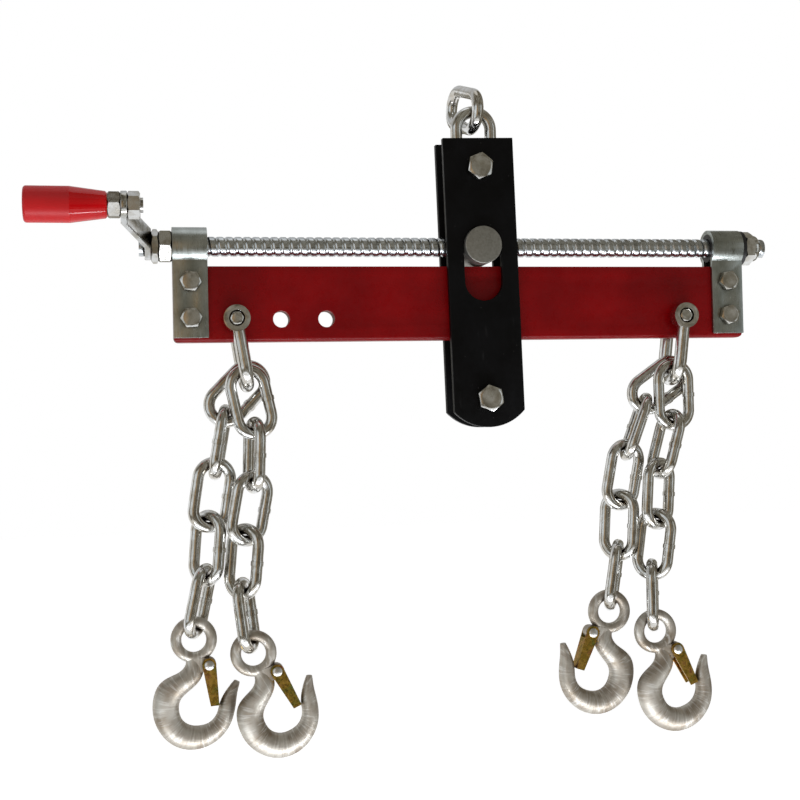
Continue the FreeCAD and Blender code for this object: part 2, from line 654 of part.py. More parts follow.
def link(name, wire, inner_length, outer_width):
    """Welded oval link in its own XZ plane, middle at the origin."""
    bend = f"({outer_width} - {wire}) / 2"
    rise = f"({inner_length} + 2 * {wire} - {outer_width}) / 2"
    pieces = []
    for end, spin in (("top", Rotation(X_AXIS, 90)), ("bottom", Rotation(X_AXIS, -90))):
        arc = doc.addObject("Part::Torus", f"{name}_{end}")
        arc.Angle3 = 180
        arc.Placement.Rotation = spin
        sign = "" if end == "top" else "-"
        bind(arc, Radius1=bend, Radius2=f"{wire} / 2", z=f"{sign}{rise}")
        pieces.append(arc)
    for side, sign in (("left", "-"), ("right", "")):
        pieces.append(cylinder(f"{name}_{side}", wire, f"2 * {rise}", "Z",
                               x=f"{sign}{bend}", z=f"-{rise}"))
    pieces.append(cylinder(f"{name}_weld", f"{wire} + 2 * weld_height", "weld_length", "Z",
                           x=bend, z="-weld_length / 2"))
    return fuse(name, *pieces)


def build_lift_links():
    """Two links over the lift bolt; the upper one leans to the front."""
    sizes = ("lift_wire", "lift_inner_length", "lift_outer_width")
    half = (size("lift_inner_length") + size("lift_wire")) / 2
    top = FRAME * lift_frame()
    node("lower_lift_link", link("LowerLift", *sizes), top * at(0, 0, -half))
    gap = size("lift_wire") + size("chain_clearance")
    upper = top * LIFT_TURN * at(0, 0, -gap) * turn(Z_AXIS, size("lift_roll")) * at(0, 0, half)
    node("upper_lift_link", link("UpperLift", *sizes), upper)


def shackle_frame(side):
    """Shackle frame: origin on the pin axis in the middle of the jaw, leaning inwards."""
    x = beam_left + size("left_hole_distance")
    if side == "right":
        x = beam_right - size("right_hole_distance")
    return FRAME * at(x, 0, size("hole_rise")) * turn(Y_AXIS, size(f"{side}_shackle_lean"))


def build_shackles():
    """Dee shackles with flush pins through the beam."""
    leg = "(shackle_jaw + shackle_wire) / 2"
    arc_drop = "(shackle_inner_length - shackle_jaw / 2)"
    span = "(shackle_jaw + 2 * shackle_wire)"
    for side in ("left", "right"):
        bow_arc = doc.addObject("Part::Torus", f"{side}_bow_arc")
        bow_arc.Angle3 = 180
        bow_arc.Placement.Rotation = Rotation(Z_AXIS, 90) * Rotation(X_AXIS, -90)
        bind(bow_arc, Radius1=leg, Radius2="shackle_wire / 2", z=f"-{arc_drop}")
        pieces = [bow_arc]
        for end, sign in (("front", "-"), ("rear", "")):
            y = f"{sign}{leg}"
            pieces.append(cylinder(f"{side}_{end}_ear", "shackle_ear_diameter", "shackle_wire", "Y",
                                   y=f"{y} - shackle_wire / 2"))
            pieces.append(cylinder(f"{side}_{end}_leg", "shackle_wire", arc_drop, "Z",
                                   y=y, z=f"-{arc_drop}"))
        bore = cylinder(f"{side}_ear_bore", "pin_diameter", span, "Y", y=f"-{span} / 2")
        place = shackle_frame(side)
        bow = cut(f"{side}_bow_piece", fuse(f"{side}_bow_blank", *pieces), bore)
        node(f"{side}_shackle_bow", bow, place)
        pin = fuse(f"{side}_pin_piece",
                   cylinder(f"{side}_pin_shank", "pin_diameter", span, "Y", y=f"-{span} / 2"),
                   hexagon(f"{side}_pin_head", "pin_head_flats", "pin_head", "Y", y=f"{span} / 2"))
        node(f"{side}_shackle_pin", pin, place)


def hook_section(outer_x, outer_z, inner_x, inner_z, share):
    """Oval section of the hook between its outer and its inner edge."""
    radius = size("throat_diameter") / 2
    throat = Vector(size("throat_side"), 0, -size("throat_drop"))
    outer = throat + Vector(outer_x, 0, outer_z) * radius
    inner = throat + Vector(inner_x, 0, inner_z) * radius
    across = outer - inner
    width = across.Length
    return oval((outer + inner) / 2, across.normalize(), width, size("hook_thickness") * share)


def oval(middle, across, width, thickness):
    """Oval wire with one axis along a direction and the other along Y."""
    points = []
    for step in range(OVAL_STEPS):
        angle = 2 * math.pi * step / OVAL_STEPS
        points.append(middle + across * (width / 2 * math.cos(angle))
                      + Y_AXIS * (thickness / 2 * math.sin(angle)))
    curve = Part.BSplineCurve()
    curve.interpolate(points, True)
    return Part.Wire(curve.toShape())


def hook_shape():
    """Forged eye hook in its own XZ plane, eye at the origin, opening to +X."""
    ring = size("hook_eye_wire")
    eye_radius = (size("hook_eye_diameter") - ring) / 2
    eye = Part.makeTorus(eye_radius, ring / 2, Vector(), Y_AXIS)
    neck = size("hook_neck_width")
    throat = Vector(size("throat_side"), 0, -size("throat_drop"))
    sections = [
        oval(Vector(0, 0, -eye_radius), Vector(-1, 0, 0), neck, ring),
        oval(Vector(0, 0, -eye_radius - 0.55 * neck), Vector(-1, 0, 0), neck, neck * 0.78),
    ]
    sections += [hook_section(*values) for values in HOOK_RUN]
    bend = Part.makeLoft(sections, True, False)
    lug_place = Vector(size("lug_side"), -size("lug_width") / 2, -size("lug_drop"))
    lug = Part.makeCylinder(size("lug_diameter") / 2, size("lug_width"), lug_place, Y_AXIS)
    web = Part.makeBox(size("lug_side"), size("lug_width"), size("lug_diameter"),
                       Vector(0, -size("lug_width") / 2, -size("lug_drop") - size("lug_diameter") / 2))
    hook = bend.fuse([eye, lug, web])
    bore = Part.makeCylinder(size("rivet_diameter") / 2, 3 * size("lug_width"),
                             lug_place - Vector(0, size("lug_width"), 0), Y_AXIS)
    hook = hook.cut(bore)
    return hook.removeSplitter(), throat


def latch_outline(head, end, length):
    """Side view of the latch, round its rivet and narrowing to its free end."""
    radius = head / 2
    corner = Vector(radius, 0, 0)
    return Part.Wire([
        Part.Arc(Vector(-radius, 0, 0), Vector(0, 0, radius), corner).toShape(),
        Part.LineSegment(corner, Vector(radius, 0, -length)).toShape(),
        Part.LineSegment(Vector(radius, 0, -length), Vector(radius - end, 0, -length)).toShape(),
        Part.LineSegment(Vector(radius - end, 0, -length), Vector(-radius, 0, 0)).toShape(),
    ])


def latch_shape():
    """Folded sheet latch: two cheeks and the web that faces out of the throat."""
    head, end, length = size("latch_head_width"), size("latch_end_width"), size("latch_length")
    sheet_gauge = size("latch_sheet")
    room = size("lug_width") + 2 * size("latch_clearance")
    full = room + 2 * sheet_gauge
    outside = Part.Face(latch_outline(head, end, length)).extrude(Vector(0, full, 0))
    outside.translate(Vector(0, -full / 2, 0))
    hollow = Part.Face(latch_outline(head, end, length)).extrude(Vector(0, room, 0))
    hollow.translate(Vector(-sheet_gauge, -room / 2, 0))
    above = Part.makeBox(4 * head, room, 2 * head, Vector(-2 * head, -room / 2, -size("lug_diameter") / 2
                                                          - size("latch_clearance")))
    latch = outside.cut(hollow).cut(above)
    bore = size("rivet_diameter") / 2 + size("shaft_clearance")
    return latch.cut(Part.makeCylinder(bore, 2 * full, Vector(0, -full, 0), Y_AXIS))


def rivet_shape():
    """Latch rivet with two flat heads."""
    span = (size("lug_width") + 2 * size("latch_clearance") + 2 * size("latch_sheet")
            + 2 * size("end_play"))
    shank = Part.makeCylinder(size("rivet_diameter") / 2, span, Vector(0, -span / 2, 0), Y_AXIS)
    for start, along in ((-span / 2, Vector(0, -1, 0)), (span / 2, Y_AXIS)):
        head = Part.makeCone(size("rivet_head_diameter") / 2, size("rivet_head_diameter") / 2 * 0.6,
                             size("rivet_head"), Vector(0, start, 0), along)
        shank = shank.fuse(head)
    return shank


def hang(upper, bend, lean, upper_roll, gap):
    """Contact frame under a link end.

    upper is the frame at the middle of the upper link's lower bend, with X in its plane.
    The lower piece first slides round that bend, then swings about the wire.
    """
    slide = -lean * math.cos(math.radians(upper_roll))
    swing = -lean * math.sin(math.radians(upper_roll))
    wire = upper * turn(Y_AXIS, slide) * at(0, 0, -bend)
    return wire, wire * turn(X_AXIS, swing) * at(0, 0, gap)


HINGES = {}


def lane_frame(strand):
    """Bow wire under a strand, upright, and the height of the first link's top over it."""
    side = strand["name"].split("_")[0]
    leg = (size("shackle_jaw") + size("shackle_wire")) / 2
    arc_drop = size("shackle_inner_length") - size("shackle_jaw") / 2
    lane = size(f"{strand['lane']}_lane")
    room = size("shackle_jaw") / 2 - size("chain_wire") / 2 - size("chain_clearance")
    over = math.sqrt(leg ** 2 - lane ** 2)
    rest = over - math.sqrt(room ** 2 - lane ** 2)
    wire = (shackle_frame(side) * at(0, lane, -arc_drop - over)
            * turn(Y_AXIS, -size(f"{side}_shackle_lean")))
    return wire, rest + strand["rise"]


def build_strands():
    """Four strands of five links, each with a hook, a latch and its rivet."""
    wire = size("chain_wire")
    bend = (size("chain_outer_width") - wire) / 2
    half = (size("chain_inner_length") + wire) / 2
    gap = size("chain_clearance")
    hook, throat = hook_shape()
    latch, rivet = latch_shape(), rivet_shape()
    eye_radius = (size("hook_eye_diameter") - size("hook_eye_wire")) / 2
    lug = at(size("lug_side"), 0, -size("lug_drop"))
    for strand in STRANDS:
        name, lean, roll = strand["name"], strand["lean"], strand["roll"]
        bow, height = lane_frame(strand)
        HINGES[f"{name}_link_1"] = (bow, Y_AXIS)
        place = bow * turn(Y_AXIS, -lean[0]) * at(0, 0, height) * turn(Z_AXIS, roll[0]) * at(0, 0, -half)
        for number in range(1, 6):
            if number > 1:
                last = number - 2
                hinge, contact = hang(place * at(0, 0, bend - half), bend, lean[last + 1] - lean[last],
                                      roll[last], wire + gap)
                HINGES[f"{name}_link_{number}"] = (hinge, X_AXIS)
                place = contact * turn(Z_AXIS, roll[last + 1] - roll[last]) * at(0, 0, -half)
            chain_link = link(f"{name}_chain_{number}", "chain_wire", "chain_inner_length",
                              "chain_outer_width")
            node(f"{name}_link_{number}", chain_link, place)
        hinge, contact = hang(place * at(0, 0, bend - half), bend, strand["hook_lean"] - lean[-1],
                              roll[-1], (wire + size("hook_eye_wire")) / 2 + gap)
        HINGES[f"{name}_hook"] = (hinge, X_AXIS)
        place = contact * turn(Z_AXIS, strand["hook_roll"] - roll[-1]) * at(0, 0, -eye_radius)
        node(f"{name}_hook", shaped(f"{name}_hook_forging", hook), place)
        HINGES[f"{name}_latch"] = (place * lug, Y_AXIS)
        HINGES[f"{name}_throat"] = (place * at(throat.x, 0, throat.z), Y_AXIS)
        node(f"{name}_latch", shaped(f"{name}_latch_sheet", latch),
             place * lug * turn(Y_AXIS, -size("latch_lean")))
        node(f"{name}_rivet", shaped(f"{name}_latch_rivet", rivet), place * lug)


def write_parts():
    """Check every object and write one file for each piece."""
    doc.recompute()
    for thing in doc.Objects:
        if "Invalid" in thing.State or "Error" in thing.State:
            raise RuntimeError(f"{thing.Name} failed: {thing.State}")
    os.makedirs("parts", exist_ok=True)
    for label, thing in NODES.items():
        if thing.Shape.isNull() or not thing.Shape.isValid() or not thing.Shape.Solids:
            raise RuntimeError(f"{label} has no valid solid")
    for label, thing in NODES.items():
        thing.Shape.exportStep(f"parts/{label}.step")
    print(f"{len(NODES)} pieces written")


build_beam()
build_straps()
build_bushes()
build_screw()
build_crank()
build_grip()
build_trunnion()
build_plates()
build_carriage_bolts()
build_roller()
build_lift_links()
build_shackles()
build_strands()
write_parts()
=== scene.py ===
"""Engine load leveler: red bar, crank screw, sliding carriage, shackled chains, latched hooks."""

import json
import logging
import math
from dataclasses import dataclass, field
from enum import Enum
from typing import Any, Iterable

import bmesh
import bpy
from mathutils import Matrix, Vector


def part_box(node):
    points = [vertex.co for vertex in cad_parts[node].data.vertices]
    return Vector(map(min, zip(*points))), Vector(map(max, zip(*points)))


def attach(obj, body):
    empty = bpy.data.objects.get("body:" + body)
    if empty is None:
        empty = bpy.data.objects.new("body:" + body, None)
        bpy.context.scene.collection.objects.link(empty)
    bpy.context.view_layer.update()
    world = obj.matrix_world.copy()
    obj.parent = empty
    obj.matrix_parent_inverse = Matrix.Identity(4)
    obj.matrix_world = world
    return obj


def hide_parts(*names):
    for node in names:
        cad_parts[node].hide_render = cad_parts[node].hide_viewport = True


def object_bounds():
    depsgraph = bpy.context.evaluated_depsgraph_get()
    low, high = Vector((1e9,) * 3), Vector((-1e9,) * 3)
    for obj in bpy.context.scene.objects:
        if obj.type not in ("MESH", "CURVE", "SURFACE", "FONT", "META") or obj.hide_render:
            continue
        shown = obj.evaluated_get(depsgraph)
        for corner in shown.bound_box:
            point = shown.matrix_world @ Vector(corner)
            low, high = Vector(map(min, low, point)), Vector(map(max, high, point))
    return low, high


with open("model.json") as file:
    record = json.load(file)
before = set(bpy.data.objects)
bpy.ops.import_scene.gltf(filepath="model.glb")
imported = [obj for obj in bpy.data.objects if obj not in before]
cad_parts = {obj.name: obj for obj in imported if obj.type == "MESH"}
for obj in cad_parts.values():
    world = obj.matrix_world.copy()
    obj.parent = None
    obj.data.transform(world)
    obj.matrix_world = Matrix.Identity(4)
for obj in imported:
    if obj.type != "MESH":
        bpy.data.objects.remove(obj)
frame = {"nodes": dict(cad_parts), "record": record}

log = logging.getLogger("load_leveler")
MM = 0.001
CAD_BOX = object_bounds()
NODES: dict[str, bpy.types.Object] = frame["nodes"]

Box = tuple[Vector, Vector]
Colour = tuple[float, float, float, float]
Point = tuple[float, float, float]
Ring = tuple[float, float]
Stops = list[tuple[float, str | float]]
Node = bpy.types.Node
Socket = bpy.types.NodeSocket
Shape = bmesh.types.BMesh

EVEN = (1.0, 1.0, 1.0)
FRONT = Vector((0, -1, 0))
REAR = Vector((0, 1, 0))
CRANK_END = Vector((-1, 0, 0))
FAR_END = Vector((1, 0, 0))

# Tolerances for joined points, closed seams, cuts, end faces and the lowest edges of a piece
WELD = 0.002 * MM
SEAM = 0.001 * MM
CUT = 0.0005 * MM
END_SLACK = 0.05 * MM
FOOT_SLACK = 0.1 * MM

# Slight dome on the head of a bolt
DOME_MM = 0.06


class Side(Enum):
    """End of the beam, the left one carrying the crank."""

    LEFT = "left"
    RIGHT = "right"


class Fastening(Enum):
    """Kind of turned fastening."""

    BOLT = "bolt"
    NUT = "nut"
    LOCK_NUT = "lock nut"
    RIVET = "rivet"


def linear(colour: str) -> Colour:
    """Turn an sRGB hex colour into linear values.

    Args:
        colour: Six hex digits after a hash sign.

    Returns:
        Linear red, green and blue, and a full alpha.
    """
    parts = [int(colour[i:i + 2], 16) / 255 for i in (1, 3, 5)]
    red, green, blue = (c / 12.92 if c <= 0.04045 else ((c + 0.055) / 1.055) ** 2.4 for c in parts)
    return red, green, blue, 1.0


def grey(value: float) -> Colour:
    """Linear grey of one value."""
    return value, value, value, 1.0


def per_mm(size_mm: float) -> float:
    """Texture scale whose features are about this many millimetres long."""
    return 1.0 / (size_mm * MM)


def middle(box: Box) -> Vector:
    """Middle of a box."""
    return (box[0] + box[1]) / 2


@dataclass(frozen=True)
class Layers:
    """Layers of a finish, each made of nodes in one tree."""

    tree: bpy.types.NodeTree

    def add(self, kind: str, settings: dict[Any, Any] | None = None,
            links: dict[Any, Socket] | None = None) -> Node:
        """Add a node with its settings and links.

        Args:
            kind: Blender's name of the node type, after ShaderNode.
            settings: Socket names or numbers, or attributes, and their values. A ramp's stops are
                places from 0 to 1, each with a hex colour or a grey value.
            links: Socket names or numbers and the outputs that feed them.

        Returns:
            The new node.
        """
        node = self.tree.nodes.new(f"ShaderNode{kind}")
        for key, value in (settings or {}).items():
            if key == "stops":
                elements = node.color_ramp.elements
                while len(elements) < len(value):
                    elements.new(0.5)
                for element, (place, tone) in zip(elements, value):
                    element.position = place
                    element.color = linear(tone) if isinstance(tone, str) else grey(tone)
            elif isinstance(key, int) or key in node.inputs:
                node.inputs[key].default_value = value
            else:
                setattr(node, key, value)
        for key, output in (links or {}).items():
            self.tree.links.new(output, node.inputs[key])
        return node

    def seen(self) -> Socket:
        """Share for what the eye sees, straight, in a mirror or through glass.

        Returns:
            1 for such a ray and 0 for one that only carries light.
        """
        path = self.add("LightPath")
        share = path.outputs["Is Camera Ray"]
        for ray in ("Is Glossy Ray", "Is Transmission Ray"):
            share = self.add("Math", {"operation": "MAXIMUM"},
                             {0: share, 1: path.outputs[ray]}).outputs[0]
        return share

    def centred(self, centre: Point) -> Socket:
        """Object coordinates counted from a point.

        Args:
            centre: Point that becomes the middle.

        Returns:
            Coordinates for a pattern.
        """
        place = self.add("TexCoord").outputs["Object"]
        back = tuple(-c for c in centre)
        return self.add("Mapping", {"Location": back}, {"Vector": place}).outputs[0]

    def patches(self, size_mm: float, detail: float, stretch: Point = EVEN) -> Socket:
        """Soft patches all over the piece, drawn out to streaks where stretched.

        Args:
            size_mm: Size of the patches.
            detail: Octaves of finer ones.
            stretch: Scale along each axis.

        Returns:
            Value from 0 to 1.
        """
        place = self.add("TexCoord").outputs["Object"]
        drawn = self.add("Mapping", {"Scale": stretch}, {"Vector": place}).outputs[0]
        return self.add("TexNoise", {"Scale": per_mm(size_mm), "Detail": detail},
                        {"Vector": drawn}).outputs["Fac"]

    def drift(self, stops: Stops, size_mm: float, detail: float, stretch: Point = EVEN) -> Socket:
        """Colour or gloss that drifts between its stops in patches.

        Args:
            stops: Tones along the patches' value.
            size_mm: Size of the patches.
            detail: Octaves of finer ones.
            stretch: Scale along each axis.

        Returns:
            Drifting colour.
        """
        value = self.patches(size_mm, detail, stretch)
        return self.add("ValToRGB", {"stops": stops}, {"Fac": value}).outputs["Color"]

    def relief(self, below: Socket | None, size_mm: float, detail: float, depth_mm: float,
               strength: float, stretch: Point = EVEN) -> Socket:
        """Uneven surface.

        Args:
            below: Normal of the coarser relief that carries this one.
            size_mm: Size of the humps.
            detail: Octaves of finer ones.
            depth_mm: Height of the humps.
            strength: Share of the height that shows.
            stretch: Scale along each axis.

        Returns:
            Normal of the surface.
        """
        links = {"Height": self.patches(size_mm, detail, stretch)}
        if below:
            links["Normal"] = below
        return self.add("Bump", {"Distance": depth_mm * MM, "Strength": strength},
                        links).outputs["Normal"]

    def overlaid(self, colour: Socket, overlay: str, value: Socket, stops: Stops) -> Socket:
        """Colour with another colour laid over it, for real marks and wear, and for painted shade
        in the hollows.

        Args:
            colour: Colour below.
            overlay: Colour laid over.
            value: Value that places the overlay.
            stops: How much of the overlay shows along that value.

        Returns:
            Colour with the overlay.
        """
        share = self.add("ValToRGB", {"stops": stops}, {"Fac": value}).outputs["Color"]
        return self.add("Mix", {"data_type": "RGBA", 7: linear(overlay)},
                        {0: share, 6: colour}).outputs[2]

    def shaded_hollows(self, colour: Socket, hollow_shade: str, stops: Stops, reach_mm: float) -> Socket:
        """Colour with painted shade in the hollows, darker where ambient occlusion finds surfaces
        close by.

        Args:
            colour: Colour of the open surface.
            hollow_shade: Colour of the painted shade.
            stops: How much painted shade shows, from deep corners at 0 to the open at 1.
            reach_mm: Distance that counts as close.

        Returns:
            Colour with the painted shade.
        """
        # Painted shade: ambient occlusion darkens the hollows and corners
        clear = self.add("AmbientOcclusion", {"Distance": reach_mm * MM, "samples": 6})
        return self.overlaid(colour, hollow_shade, clear.outputs["AO"], stops)

    def worn(self, colour: Socket, bare: str, stops: Stops, reach_mm: float) -> Socket:
        """Colour that is rubbed thin along the edges.

        Args:
            colour: Colour of the flats.
            bare: Colour along the edges.
            stops: How much wear shows as an edge becomes a flat at 1.
            reach_mm: Width of the worn edge.

        Returns:
            Worn colour.
        """
        normal = self.add("NewGeometry").outputs["Normal"]
        eased = self.add("Bevel", {"Radius": reach_mm * MM, "samples": 6}).outputs[0]
        flat = self.add("VectorMath", {"operation": "DOT_PRODUCT"}, {0: normal, 1: eased})
        return self.overlaid(colour, bare, flat.outputs["Value"], stops)


@dataclass(frozen=True)
class Finish:
    """Surface finish that makes one material."""

    name: str

    def build(self) -> bpy.types.Material:
        """Make the material once.

        Returns:
            The new material, or the one already made.
        """
        found = bpy.data.materials.get(self.name)
        if found:
            return found
        material = bpy.data.materials.new(self.name)
        material.use_nodes = True
        material.node_tree.nodes.clear()
        layers = Layers(material.node_tree)
        layers.add("OutputMaterial", None, {"Surface": self.shade(layers).outputs[0]})
        return material

    def shade(self, on: Layers) -> Node:
        """Make the nodes and return the shader."""
        raise NotImplementedError


@dataclass(frozen=True)
class BrightZinc(Finish):
    """Bright zinc plated steel: a cool mirror-like skin with duller clouds and rubbing marks."""

    name: str = "bright_zinc_plated_steel"
    light: str = "#C9CBCB"
    dull: str = "#A5A39B"
    # Brown of the painted shade laid into the hollows and corners
    hollow_shade: str = "#5B4E3E"
    rough: tuple[float, float] = (0.1, 0.24)
    dent_mm: float = 0.08

    def shade(self, on: Layers) -> Node:
        """Metal with clouded gloss, shallow dents, rubbing marks and brown painted shade in the
        corners.

        Args:
            on: Layers to use.

        Returns:
            The plating's shader.
        """
        tone = on.drift([(0.36, self.dull), (0.6, self.light)], size_mm=7.0, detail=5.0)
        # Painted shade: the corners and hollows darken brown
        colour = on.shaded_hollows(tone, self.hollow_shade, [(0.25, 1.0), (0.8, 0.0)], reach_mm=3.0)
        gloss = on.drift([(0.34, self.rough[0]), (0.68, self.rough[1])], size_mm=3.0, detail=6.0)
        dents = on.relief(None, size_mm=6.0, detail=1.0, depth_mm=self.dent_mm, strength=0.4)
        # Rubbing marks are hair fine, and drawn as coarse as this so that they show
        rubs = on.relief(dents, size_mm=0.8, detail=2.0, depth_mm=0.012, strength=0.3)
        return on.add("BsdfPrincipled", {"Metallic": 1.0},
                      {"Base Color": colour, "Roughness": gloss, "Normal": rubs})


@dataclass(frozen=True)
class SheetZinc(Finish):
    """Zinc plated cold-rolled sheet: satin, with rolling streaks along the strap."""

    name: str = "satin_zinc_plated_sheet"
    streaks: Point = (9.0, 1.0, 0.5)

    def shade(self, on: Layers) -> Node:
        """Satin metal with rolling streaks, a slow wave and painted shade in the corners.

        Args:
            on: Layers to use.

        Returns:
            The sheet's shader.
        """
        tone = on.drift([(0.35, "#969C98"), (0.65, "#B4BAB8")], size_mm=11.0, detail=4.0)
        # Painted shade darkens the corners and hollows
        colour = on.shaded_hollows(tone, "#4A463D", [(0.3, 0.7), (0.85, 0.0)], reach_mm=3.0)
        # Rolling streaks are finer than this, and drawn as coarse as they need to show
        gloss = on.drift([(0.3, 0.24), (0.7, 0.38)], size_mm=6.0, detail=5.0, stretch=self.streaks)
        wave = on.relief(None, size_mm=14.0, detail=1.0, depth_mm=0.12, strength=0.4)
        rolled = on.relief(wave, size_mm=6.0, detail=5.0, depth_mm=0.02, strength=0.4,
                           stretch=self.streaks)
        return on.add("BsdfPrincipled", {"Metallic": 1.0},
                      {"Base Color": colour, "Roughness": gloss, "Normal": rolled})


@dataclass(frozen=True)
class ForgedZinc(Finish):
    """Galvanised drop forging: pale zinc on scaled skin, ground across the bend, with brown painted
    shade in the hollows.
    """

    name: str = "galvanised_forging"
    throat: Point = (0.0, 0.0, 0.0)
    bend_mm: float = 22.0
    line_mm: float = 1.3
    line_draw: float = 0.12

    def shade(self, on: Layers) -> Node:
        """Rough pale metal with scale pits and scratches that point at the throat.

        Args:
            on: Layers to use.

        Returns:
            The forging's shader.
        """
        tone = on.drift([(0.34, "#968B7C"), (0.66, "#C6C2B9")], size_mm=13.0, detail=5.0)
        scratch = self.scratches(on)
        scored = on.overlaid(tone, "#E9E9E6", scratch, [(0.56, 0.0), (0.66, 0.5)])
        rubbed = on.overlaid(scored, "#84776A", scratch, [(0.34, 0.4), (0.44, 0.0)])
        # Painted shade darkens the hollows brown
        colour = on.shaded_hollows(rubbed, "#5E4F3E", [(0.3, 0.85), (0.85, 0.0)], reach_mm=7.0)
        gloss = on.drift([(0.3, 0.42), (0.7, 0.6)], size_mm=2.0, detail=6.0)
        ground = on.add("Bump", {"Distance": 0.12 * MM, "Strength": 0.5},
                        {"Height": scratch}).outputs["Normal"]
        pits = on.relief(ground, size_mm=1.2, detail=4.0, depth_mm=0.12, strength=0.5)
        return on.add("BsdfPrincipled", {"Metallic": 0.85},
                      {"Base Color": colour, "Roughness": gloss, "Normal": pits})

    def scratches(self, on: Layers) -> Socket:
        """Lines across the bend of the hook, as a grinding belt leaves them.

        Grit lines are finer than line_mm, and drawn as coarse as that so that they show.

        Args:
            on: Layers to use.

        Returns:
            Value from 0 to 1 that changes quickly round the throat and slowly away from it.
        """
        where = on.centred(self.throat)
        axes = on.add("SeparateXYZ", None, {0: where})
        angle = on.add("Math", {"operation": "ARCTAN2"},
                       {0: axes.outputs["Z"], 1: axes.outputs["X"]}).outputs[0]
        round_bend = on.add("Math",
                            {"operation": "MULTIPLY", 1: self.bend_mm * MM},
                            {0: angle}).outputs[0]
        away = on.add("VectorMath", {"operation": "LENGTH"}, {0: where}).outputs["Value"]
        slow = on.add("Math", {"operation": "MULTIPLY", 1: self.line_draw}, {0: away}).outputs[0]
        spread = on.add("CombineXYZ", None, {0: round_bend, 1: slow}).outputs[0]
        return on.add("TexNoise", {"Scale": per_mm(self.line_mm), "Detail": 3.0},
                      {"Vector": spread}).outputs["Fac"]


@dataclass(frozen=True)
class YellowZinc(Finish):
    """Yellow chromated zinc sheet: gold that drifts to green and rose with the film's thickness."""

    name: str = "yellow_chromated_zinc"

    def shade(self, on: Layers) -> Node:
        """Iridescent gold on a slightly dented sheet.

        Args:
            on: Layers to use.

        Returns:
            The sheet's shader.
        """
        film = [(0.3, "#828A46"), (0.45, "#AE8F3D"), (0.58, "#C6A150"), (0.72, "#AC6852")]
        tone = on.drift(film, size_mm=6.0, detail=3.0)
        gloss = on.drift([(0.3, 0.2), (0.7, 0.36)], size_mm=2.0, detail=4.0)
        dents = on.relief(None, size_mm=1.5, detail=3.0, depth_mm=0.05, strength=0.4)
        return on.add("BsdfPrincipled", {"Metallic": 1.0},
                      {"Base Color": tone, "Roughness": gloss, "Normal": dents})


@dataclass(frozen=True)
class BeamEnamel(Finish):
    """Sprayed red enamel on bar stock: glossy with orange peel, thinner and paler on the edges."""

    name: str = "sprayed_red_enamel"
    body: str = "#860408"
    deep: str = "#740206"
    edge: str = "#A8232A"

    def shade(self, on: Layers) -> Node:
        """Glossy paint with orange peel and paler edges.

        Args:
            on: Layers to use.

        Returns:
            The paint's shader.
        """
        tone = on.drift([(0.35, self.deep), (0.65, self.body)], size_mm=38.0, detail=4.0)
        colour = on.worn(tone, self.edge, [(0.8, 0.6), (0.985, 0.0)], reach_mm=1.2)
        gloss = on.drift([(0.3, 0.24), (0.7, 0.36)], size_mm=5.0, detail=5.0)
        wave = on.relief(None, size_mm=9.0, detail=2.0, depth_mm=0.06, strength=0.25)
        # Orange peel of sprayed paint is about this coarse
        peel = on.relief(wave, size_mm=1.3, detail=2.0, depth_mm=0.03, strength=0.3)
        return on.add("BsdfPrincipled", {"IOR": 1.5, "Specular IOR Level": 0.16},
                      {"Base Color": colour, "Roughness": gloss, "Normal": peel})


@dataclass(frozen=True)
class PlateBlack(Finish):
    """Satin black paint on plate: fine grain, pale rubbed edges, scuffs and dust specks."""

    name: str = "satin_black_paint"
    scuffs: Point = (1.0, 1.0, 0.15)

    def shade(self, on: Layers) -> Node:
        """Satin paint with rubbed edges, scuffs and specks.

        Args:
            on: Layers to use.

        Returns:
            The paint's shader.
        """
        tone = on.drift([(0.35, "#050506"), (0.65, "#0C0C0E")], size_mm=30.0, detail=5.0)
        place = on.add("TexCoord").outputs["Object"]
        specks = on.add("TexVoronoi", {"Scale": per_mm(7.0), "Randomness": 1.0},
                        {"Vector": place}).outputs["Distance"]
        dusty = on.overlaid(tone, "#5C5A58", specks, [(0.02, 0.5), (0.05, 0.0)])
        scuffs = on.patches(size_mm=5.0, detail=6.0, stretch=self.scuffs)
        rubbed = on.overlaid(dusty, "#2E2D2D", scuffs, [(0.66, 0.0), (0.76, 0.35)])
        colour = on.worn(rubbed, "#3A3938", [(0.75, 0.4), (0.98, 0.0)], reach_mm=0.9)
        gloss = on.drift([(0.3, 0.36), (0.7, 0.5)], size_mm=4.0, detail=6.0)
        # The grain of satin paint is finer, and drawn as coarse as this so that it shows
        grain = on.relief(None, size_mm=0.8, detail=3.0, depth_mm=0.03, strength=0.4)
        return on.add("BsdfPrincipled", {"IOR": 1.5, "Specular IOR Level": 0.13},
                      {"Base Color": colour, "Roughness": gloss, "Normal": grain})


@dataclass(frozen=True)
class GripPlastic(Finish):
    """Moulded red polypropylene: polished on the taper, finely textured on the straight part."""

    name: str = "moulded_red_polypropylene"
    seam: float = -0.29
    seam_mm: float = 0.8

    def shade(self, on: Layers) -> Node:
        """Plastic whose gloss changes at the step of the grip.

        Args:
            on: Layers to use.

        Returns:
            The plastic's shader.
        """
        tone = on.drift([(0.3, "#C00810"), (0.7, "#CF0C14")], size_mm=16.0, detail=3.0)
        place = on.add("TexCoord").outputs["Object"]
        along = on.add("SeparateXYZ", None, {0: place}).outputs["X"]
        half = self.seam_mm * MM / 2
        gloss = on.add("MapRange",
                       {"From Min": self.seam - half, "From Max": self.seam + half,
                        "To Min": 0.4, "To Max": 0.07}, {"Value": along}).outputs["Result"]
        # The mould's spark grain is finer, and drawn as coarse as this so that it shows
        grain = on.relief(None, size_mm=0.7, detail=3.0, depth_mm=0.008, strength=0.4)
        return on.add("BsdfPrincipled",
                      {"IOR": 1.49, "Specular IOR Level": 0.36},
                      {"Base Color": tone, "Roughness": gloss, "Normal": grain})


